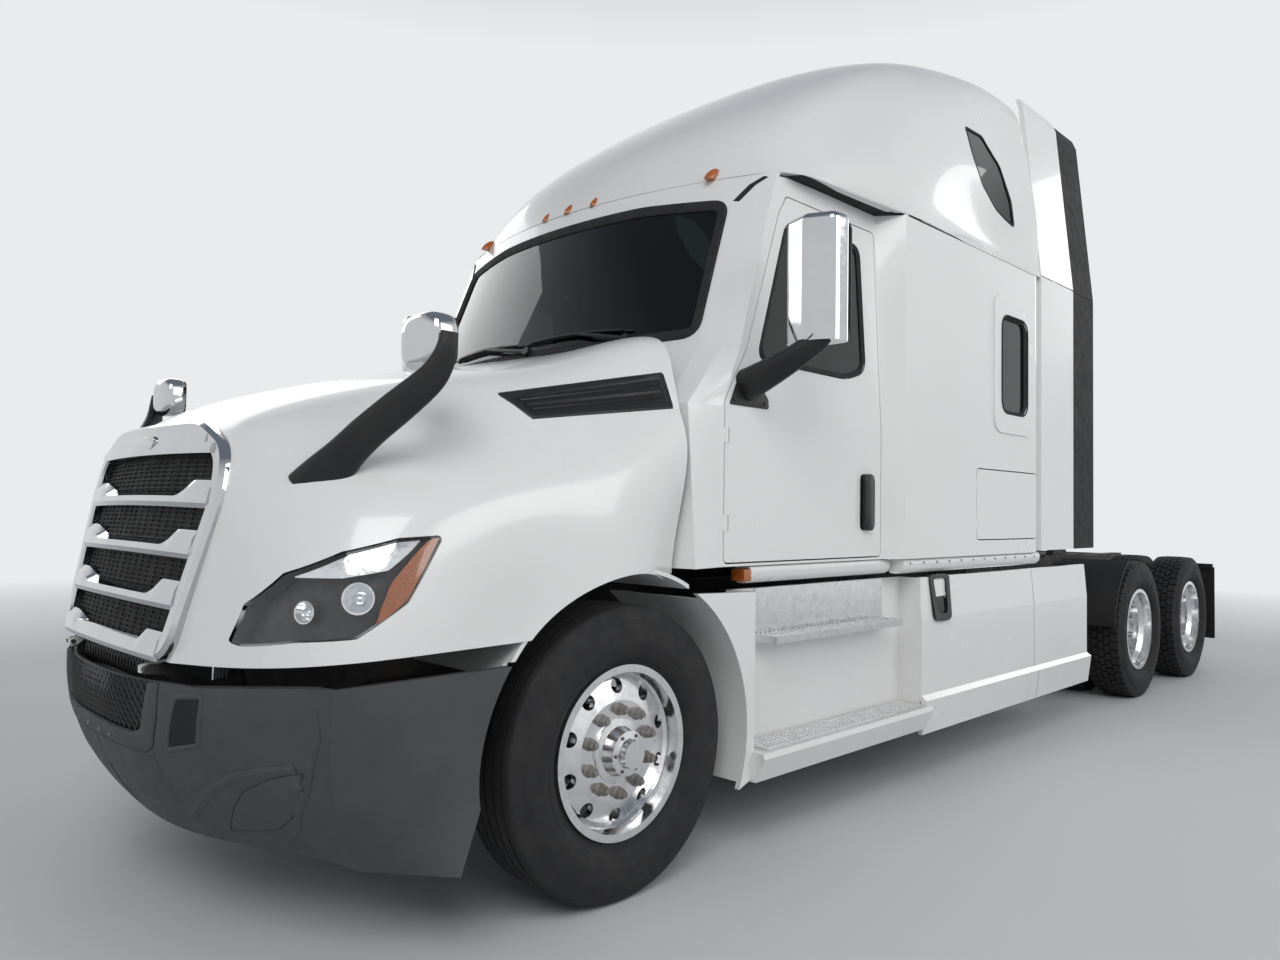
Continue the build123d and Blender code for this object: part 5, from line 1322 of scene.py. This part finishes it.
def pillow(middle, half, power, back, rings=20, sides=40):
    """A swollen block about a middle, cut flat at back behind it."""
    vertices = []
    for j in range(1, rings):
        tilt = pi * j / rings - pi / 2
        out, level = signed_power(sin(tilt), 2 / power), signed_power(cos(tilt), 2 / power)
        for turn in turns(sides):
            y = level * signed_power(cos(turn), 2 / power) * half[1]
            z = level * signed_power(sin(turn), 2 / power) * half[2]
            vertices.append(Vector(middle) + Vector((max(out * half[0], -back), y, z)))
    return outwards(vertices, column(rings - 1, sides))


def pane_in_rim(name, outer, inner, pane, place, back, front, body):
    """A mirror's pane, and the black rim around it between two outlines."""
    rim = frame_between(outer, inner, place, back, front)
    both_sides(f"{name}_rim", [rim], BLACK_PLASTIC, body)
    glass = prism(rounded(pane, 30), place, back, 0.003, 0.001)
    both_sides(f"{name}_pane", [glass], MIRROR, body)


def mirror_arms():
    """Broad moulded arms for all four mirrors, and the rounded bright heads on the hood."""
    both_sides("hood_mirror_arm", [blade(HOOD_ARM)], BLACK_PLASTIC, "hood",
               replaces=("hood_mirror_arms",))
    both_sides("door_mirror_arm", [blade(DOOR_ARM)], BLACK_PLASTIC, DOORS)
    for label in ("left", "right"):
        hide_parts(f"{label}_mirror_arm")
    head = pillow(HOOD_MIRROR, HEAD_HALF, HEAD_POWER, HEAD_BACK)
    both_sides("hood_mirror_head", [head], CHROME, "hood", sharp=50,
               replaces=("hood_mirror_shells",))

    def rearwards(u, v, w):
        x, y, z = HOOD_MIRROR
        return (x - HEAD_BACK - w, y + u / 1000, z + v / 1000)

    outer, inner = soft(HOOD_PANE, 36, 20), soft(grown(HOOD_PANE, -8), 30, 20)
    pane_in_rim("hood_mirror", outer, inner, grown(HOOD_PANE, -7), rearwards, -0.002, 0.005, "hood")


def mirror_details():
    """The door mirrors' panes in black rims, and their feet on the doors."""
    def rearwards(u, v, w):
        return (AXLE_X - 0.8085 - w + 0.06 * (u - 1425) / 1000, u / 1000, v / 1000)

    outer, inner = soft(grown(DOOR_PANE, 4), 34, 40), soft(grown(DOOR_PANE, -8), 28, 40)
    pane_in_rim("mirror", outer, inner, grown(DOOR_PANE, -6), rearwards, -0.004, 0.006, DOORS)
    door = target("left_door")
    forms = [pad_on(soft(MIRROR_FOOT, 12, 30, 4), from_left, door, 7, 1.0, 4, 3.0)]
    for u, v in ((-578, 1772), (-770, 1772), (-650, 1885)):
        place, normal = hit(door, *from_left(u, v))
        forms.append(bolts_at([place + normal * 0.006], normal, 0.008, 0.005))
    both_sides("mirror_foot", forms, BLACK_PLASTIC, DOORS)


# Chassis and rear

RELEASE_ROD = [(-5.80, 0.22), (-5.80, 0.50), (-5.812, 0.525), (-5.84, 0.532), (-5.868, 0.522),
               (-5.872, 0.49)]
ROD_Z = 1.166
DECK_Z = 1.010
DECK_BUTTON = [(0.012, -0.0005), (0.012, 0.0012), (0.009, 0.0026), (0.006, 0.0012),
               (0.006, -0.0005)]


def chassis_bolts():
    """Bolt rows where the crossmembers meet the frame rails."""
    places = []
    for x in (-1.30, -2.50, -3.60, -4.60):
        for dx in (-0.035, 0.035):
            for z in (0.775, 0.860, 0.945):
                got = hit(target("frame_rails"), *from_left(1000 * (x + dx), 1000 * z))
                if got and got[0].y > 0.35:
                    places.append(tuple(got[0]))
    bolts = bolts_at(places, (0, 1, 0), 0.012, 0.009)
    both_sides("rail_bolts", [bolts], STEEL, "chassis", sharp=25)


def rear_details():
    """Tail lenses, a blank plate, the coupling's handle, deck buttons, wall ribs and sockets."""
    lens = block((AXLE_X - 7.4070, 0.246, 0.796), (AXLE_X - 7.3865, 0.404, 0.864), 0.004)
    both_sides("tail_lens", [lens], RED_LENS, "chassis")
    x = hit(target("frame_rails"), *from_rear(0, 860))[0].x
    plate = block((x - 0.006, -0.1525, 0.790), (x + 0.001, 0.1525, 0.942), 0.0015)
    piece("blank_plate", [plate], PLATE, "chassis")
    handle = tube([(AXLE_X + x, y, ROD_Z) for x, y in RELEASE_ROD], 0.008, 8)
    piece("release_handle", [handle], NUT_STEEL, "fifth_wheel")
    places = [(AXLE_X + (-4.19 + 0.062 * i), -0.72 + 0.0626 * j, DECK_Z)
              for i in range(11) for j in range(24)]
    piece("deck_buttons", [buttons_at(places, DECK_BUTTON)], ALUMINIUM, "chassis", sharp=30)
    wall = target("cab_shell")
    ribs = [strip_on([(-900, z), (900, z)], from_rear, wall, 16, 5, 60) for z in (1500, 1900, 2300)]
    piece("rear_wall_ribs", ribs, PAINT, "chassis", sharp=20)
    sockets = []
    for y in (-0.16, 0.0, 0.16):
        place, normal = hit(wall, *from_rear(1000 * y, 1330))
        sockets.append(tube([place - normal * 0.001, place + normal * 0.03], [0.042, 0.038], 20))
        sockets.append(tube([place + normal * 0.028, place + normal * 0.062], [0.026, 0.022], 16))
    piece("coupling_sockets", sockets, BLACK_PLASTIC, "chassis")


# Inside the cab

SEAT_LEAN = -0.12
DASH_SCREENS = ((330, 690, 1668, 1778), (-60, 190, 1660, 1780))
VENT_PLACES = (-700, -420, 250, 800)
BOSS_PLACE, BOSS_AXIS = (AXLE_X - 0.893, 0.5, 1.744), (-0.80873, 0, 0.58817)


def soft_block(low, high, radius, crown=0.0, cuts=12):
    """A box with well-rounded edges and, with crown, a swollen top."""
    mesh = bmesh.new()
    bmesh.ops.create_grid(mesh, x_segments=cuts, y_segments=cuts, size=1.0)
    sheet = [v.co.copy() for v in mesh.verts]
    quads = [[v.index for v in f.verts] for f in mesh.faces]
    mesh.free()
    made = bmesh.new()
    half = (Vector(high) - Vector(low)) / 2
    middle = (Vector(high) + Vector(low)) / 2
    radius = min(radius, 0.98 * min(half))
    for about_x, about_y in ((0, 0), (pi, 0), (pi / 2, 0), (-pi / 2, 0), (0, pi / 2), (0, -pi / 2)):
        turn = Matrix.Rotation(about_x, 3, "X") @ Matrix.Rotation(about_y, 3, "Y")
        verts = []
        for corner in sheet:
            unit = turn @ Vector((corner.x, corner.y, 1.0))
            full = Vector([c * h for c, h in zip(unit, half)])
            core = Vector([max(-(h - radius), min(h - radius, c)) for c, h in zip(full, half)])
            away = full - core
            place = core + (away.normalized() * radius if away.length > 1e-9 else away)
            swell = crown * (1 - unit.x ** 2) * (1 - unit.y ** 2) * max(0.0, unit.z)
            verts.append(made.verts.new(middle + place + Vector((0, 0, swell))))
        for quad in quads:
            made.faces.new([verts[i] for i in quad])
    bmesh.ops.remove_doubles(made, verts=made.verts[:], dist=1e-5)
    return taken(made)


def boxed(make, x0, x1, y, half, z0, z1, *options):
    """A box by block or soft_block, with x from the front axle and y about a middle."""
    return make((AXLE_X + x0, y - half, z0), (AXLE_X + x1, y + half, z1), *options)


def leaning(form, pivot):
    """The same form leant back about a pivot, as the seats' backs are."""
    turn = Matrix.Rotation(SEAT_LEAN, 3, "Y")
    return [turn @ (Vector(v) - pivot) + pivot for v in form[0]], form[1]


def cushion(name, form):
    """A stuffed piece in the seats' fabric."""
    piece(name, [form], SEAT_FABRIC, "chassis", sharp=60)


def seats():
    """Two sprung seats and the berth, with soft cushions."""
    for label, y in (("right", -0.5), ("left", 0.5)):
        base = [boxed(block, -1.50, -1.12, y, 0.17, 1.1805, 1.26, 0.02)]
        for k in range(5):  # the folds of the sprung base
            z = 1.262 + 0.036 * k
            base.append(boxed(soft_block, -1.47, -1.15, y, 0.15, z, z + 0.034, 0.016, 0.0, 6))
        base.append(boxed(block, -1.52, -1.09, y, 0.20, 1.44, 1.482, 0.012))
        piece(f"{label}_seat_base", base, CABIN_PLASTIC, "chassis",
              replaces=("seats",) if label == "right" else ())
        pivot = Vector((AXLE_X - 1.56, y, 1.60))
        cushion(f"{label}_seat_cushion",
                boxed(soft_block, -1.55, -1.067, y, 0.24, 1.48, 1.598, 0.05, 0.010))
        back = boxed(soft_block, -1.60, -1.475, y, 0.23, 1.565, 2.12, 0.05)
        cushion(f"{label}_seat_back", leaning(back, pivot))
        rest = boxed(soft_block, -1.595, -1.495, y, 0.13, 2.135, 2.30, 0.045)
        cushion(f"{label}_headrest", leaning(rest, pivot))
    berth = [boxed(block, -3.34, -2.50, 0.0, 1.07, 1.1805, 1.64, 0.01)]
    berth += [boxed(block, -2.502, -2.488, y, 0.31, 1.24, 1.58, 0.006) for y in (-0.72, 0.0, 0.72)]
    piece("berth_base", berth, CABIN_PLASTIC, "chassis")
    mattress = boxed(soft_block, -3.345, -2.505, 0.0, 1.075, 1.64, 1.815, 0.05, 0.012, 16)
    cushion("berth_mattress", mattress)


def dash_details():
    """The dark instrument panel, the middle screen and the air vents."""
    face = target("dashboard")
    screens = []
    for u0, u1, v0, v1 in DASH_SCREENS:
        outline = soft([(u0, v0), (u1, v0), (u1, v1), (u0, v1)], 22, 40, 5)
        screens.append(pad_on(outline, from_cab, face, 4, 1, 3, 3.0))
    piece("dash_screens", screens, GLOSS_BLACK, "chassis")
    vents = [strip_on([(u - 55, v), (u + 55, v)], from_cab, face, 4, 5, 60)
             for u in VENT_PLACES for v in range(1690, 1770, 16)]
    piece("dash_vents", vents, BLACK_PLASTIC, "chassis")


def steering_boss():
    """The boss between the steering wheel and its column, and the pad in the wheel's middle."""
    middle, axis = Vector(BOSS_PLACE), Vector(BOSS_AXIS)
    boss = [tube([middle + t * axis for t in (-0.040, -0.030, -0.008)], (0.026, 0.030, 0.040), 24),
            tube([middle + t * axis for t in (0.008, 0.020, 0.026)], (0.062, 0.058, 0.040), 32)]
    piece("steering_boss", boss, BLACK_PLASTIC, "steering_wheel")


# Studio

PALE = (0.93, 0.94, 0.95)
SEEN_STRENGTH = 0.88
FILL, FILL_STRENGTH = (0.92, 0.95, 1.0, 1.0), 0.36
ZENITH = (0.22, 0.25, 0.30)
LAMPS = (
    # name, place, where it is aimed, size, power in W
    ("key", (9.0, 6.5, 8.5), (0.5, 0.0, 1.4), (6.0, 6.0), 470),
    ("side", (-1.0, 11.0, 6.0), (-0.5, 0.0, 1.4), (9.0, 5.0), 330),
    ("far", (2.0, -11.0, 7.0), (0.0, 0.0, 1.4), (9.0, 5.0), 200),
    ("rear", (-12.0, 2.0, 6.0), (-3.0, 0.0, 1.5), (6.0, 4.0), 140),
)
FLOOR_REACH = 60.0


def camera():
    """The camera that took the photograph."""
    cy, sy = cos(CAMERA_YAW), sin(CAMERA_YAW)
    cp, sp = cos(CAMERA_PITCH), sin(CAMERA_PITCH)
    forward = Vector((cy * cp, sy * cp, sp))
    level_right = Vector((sy, -cy, 0.0))
    level_up = level_right.cross(forward)
    right = cos(CAMERA_ROLL) * level_right + sin(CAMERA_ROLL) * level_up
    up = -sin(CAMERA_ROLL) * level_right + cos(CAMERA_ROLL) * level_up
    data = bpy.data.cameras.new("photo_camera")
    data.sensor_width = SENSOR_MM
    data.lens = CAMERA_LENS_MM
    data.clip_end = 200.0
    made = bpy.data.objects.new("photo_camera", data)
    turn = Matrix((right, up, -forward)).transposed().to_4x4()
    made.matrix_world = Matrix.Translation(CAMERA_PLACE) @ turn
    bpy.context.scene.collection.objects.link(made)
    bpy.context.scene.camera = made


def area_light(name, place, aim, size, power):
    data = bpy.data.lights.new(name, "AREA")
    data.shape = "RECTANGLE"
    data.size, data.size_y = size
    data.energy = power
    made = bpy.data.objects.new(name, data)
    made.location = place
    made.rotation_euler = (Vector(aim) - Vector(place)).to_track_quat("-Z", "Y").to_euler()
    bpy.context.scene.collection.objects.link(made)


def looking_rays(tree):
    """1 for rays that show the background: the camera's, and those off metal or through glass."""
    rays = tree.nodes.new("ShaderNodeLightPath").outputs
    total = rays["Is Camera Ray"]
    for kind in ("Is Glossy Ray", "Is Transmission Ray"):
        total = combined(tree, "MAXIMUM", total, rays[kind])
    return total


def surroundings():
    """A pale surround, darker overhead, where it shows, and a fainter even fill elsewhere."""
    world = bpy.data.worlds.new("studio")
    bpy.context.scene.world = world
    world.use_nodes = True
    tree = world.node_tree
    fill = tree.nodes["Background"]
    fill.inputs["Color"].default_value = FILL
    fill.inputs["Strength"].default_value = FILL_STRENGTH
    way = tree.nodes.new("ShaderNodeTexCoord").outputs["Generated"]
    height = add_node(tree, "ShaderNodeSeparateXYZ", Vector=way).outputs["Z"]
    sky = colour_ramp(tree, height, [(0.45, PALE), (0.72, ZENITH)])
    seen = add_node(tree, "ShaderNodeBackground", Strength=SEEN_STRENGTH, Color=sky)
    mix = mixed_shader(tree, looking_rays(tree), fill.outputs[0], seen.outputs[0])
    tree.links.new(mix, tree.nodes["World Output"].inputs["Surface"])


def paper_floor():
    """A broad grey floor that fades into the surround far from the vehicle."""
    m = Nodes("floor_paper", Roughness=0.7)
    m.colour(m.ramp(m.noise(0.6, 2.0), [(0.3, (0.60, 0.61, 0.62)), (0.7, (0.62, 0.63, 0.64))]))
    away = m.add("ShaderNodeVectorMath", Vector=m.place())
    away.operation = "LENGTH"
    far = m.grey_ramp(m.multiply(away.outputs["Value"], 0.05), [(0.33, 0.0), (0.75, 1.0)])
    pale = m.add("ShaderNodeEmission", Color=(*PALE, 1.0), Strength=SEEN_STRENGTH)
    share = m.multiply(far, looking_rays(m.tree))
    blend = mixed_shader(m.tree, share, m.shader.outputs["BSDF"], pale.outputs["Emission"])
    m.tree.links.new(blend, m.tree.nodes["Material Output"].inputs["Surface"])
    corners = [(FLOOR_REACH * a, FLOOR_REACH * b, 0)
               for a, b in ((-1, -1), (1, -1), (1, 1), (-1, 1))]
    mesh = bpy.data.meshes.new("floor")
    mesh.from_pydata(corners, [], [(0, 1, 2, 3)])
    mesh.materials.append(m.material)
    floor = bpy.data.objects.new("floor", mesh)
    bpy.context.scene.collection.objects.link(floor)


dress_nodes()
wheels()
windows()
wipers()
headlamps()
grille_details()
bumper_details()
vent_details()
door_details()
mirror_arms()
mirror_details()
body_seams()
tread_buttons()
sills()
chassis_bolts()
rear_details()
seats()
dash_details()
steering_boss()
camera()
surroundings()
for lamp in LAMPS:
    area_light(*lamp)
paper_floor()
bpy.context.scene.view_settings.view_transform = "Standard"
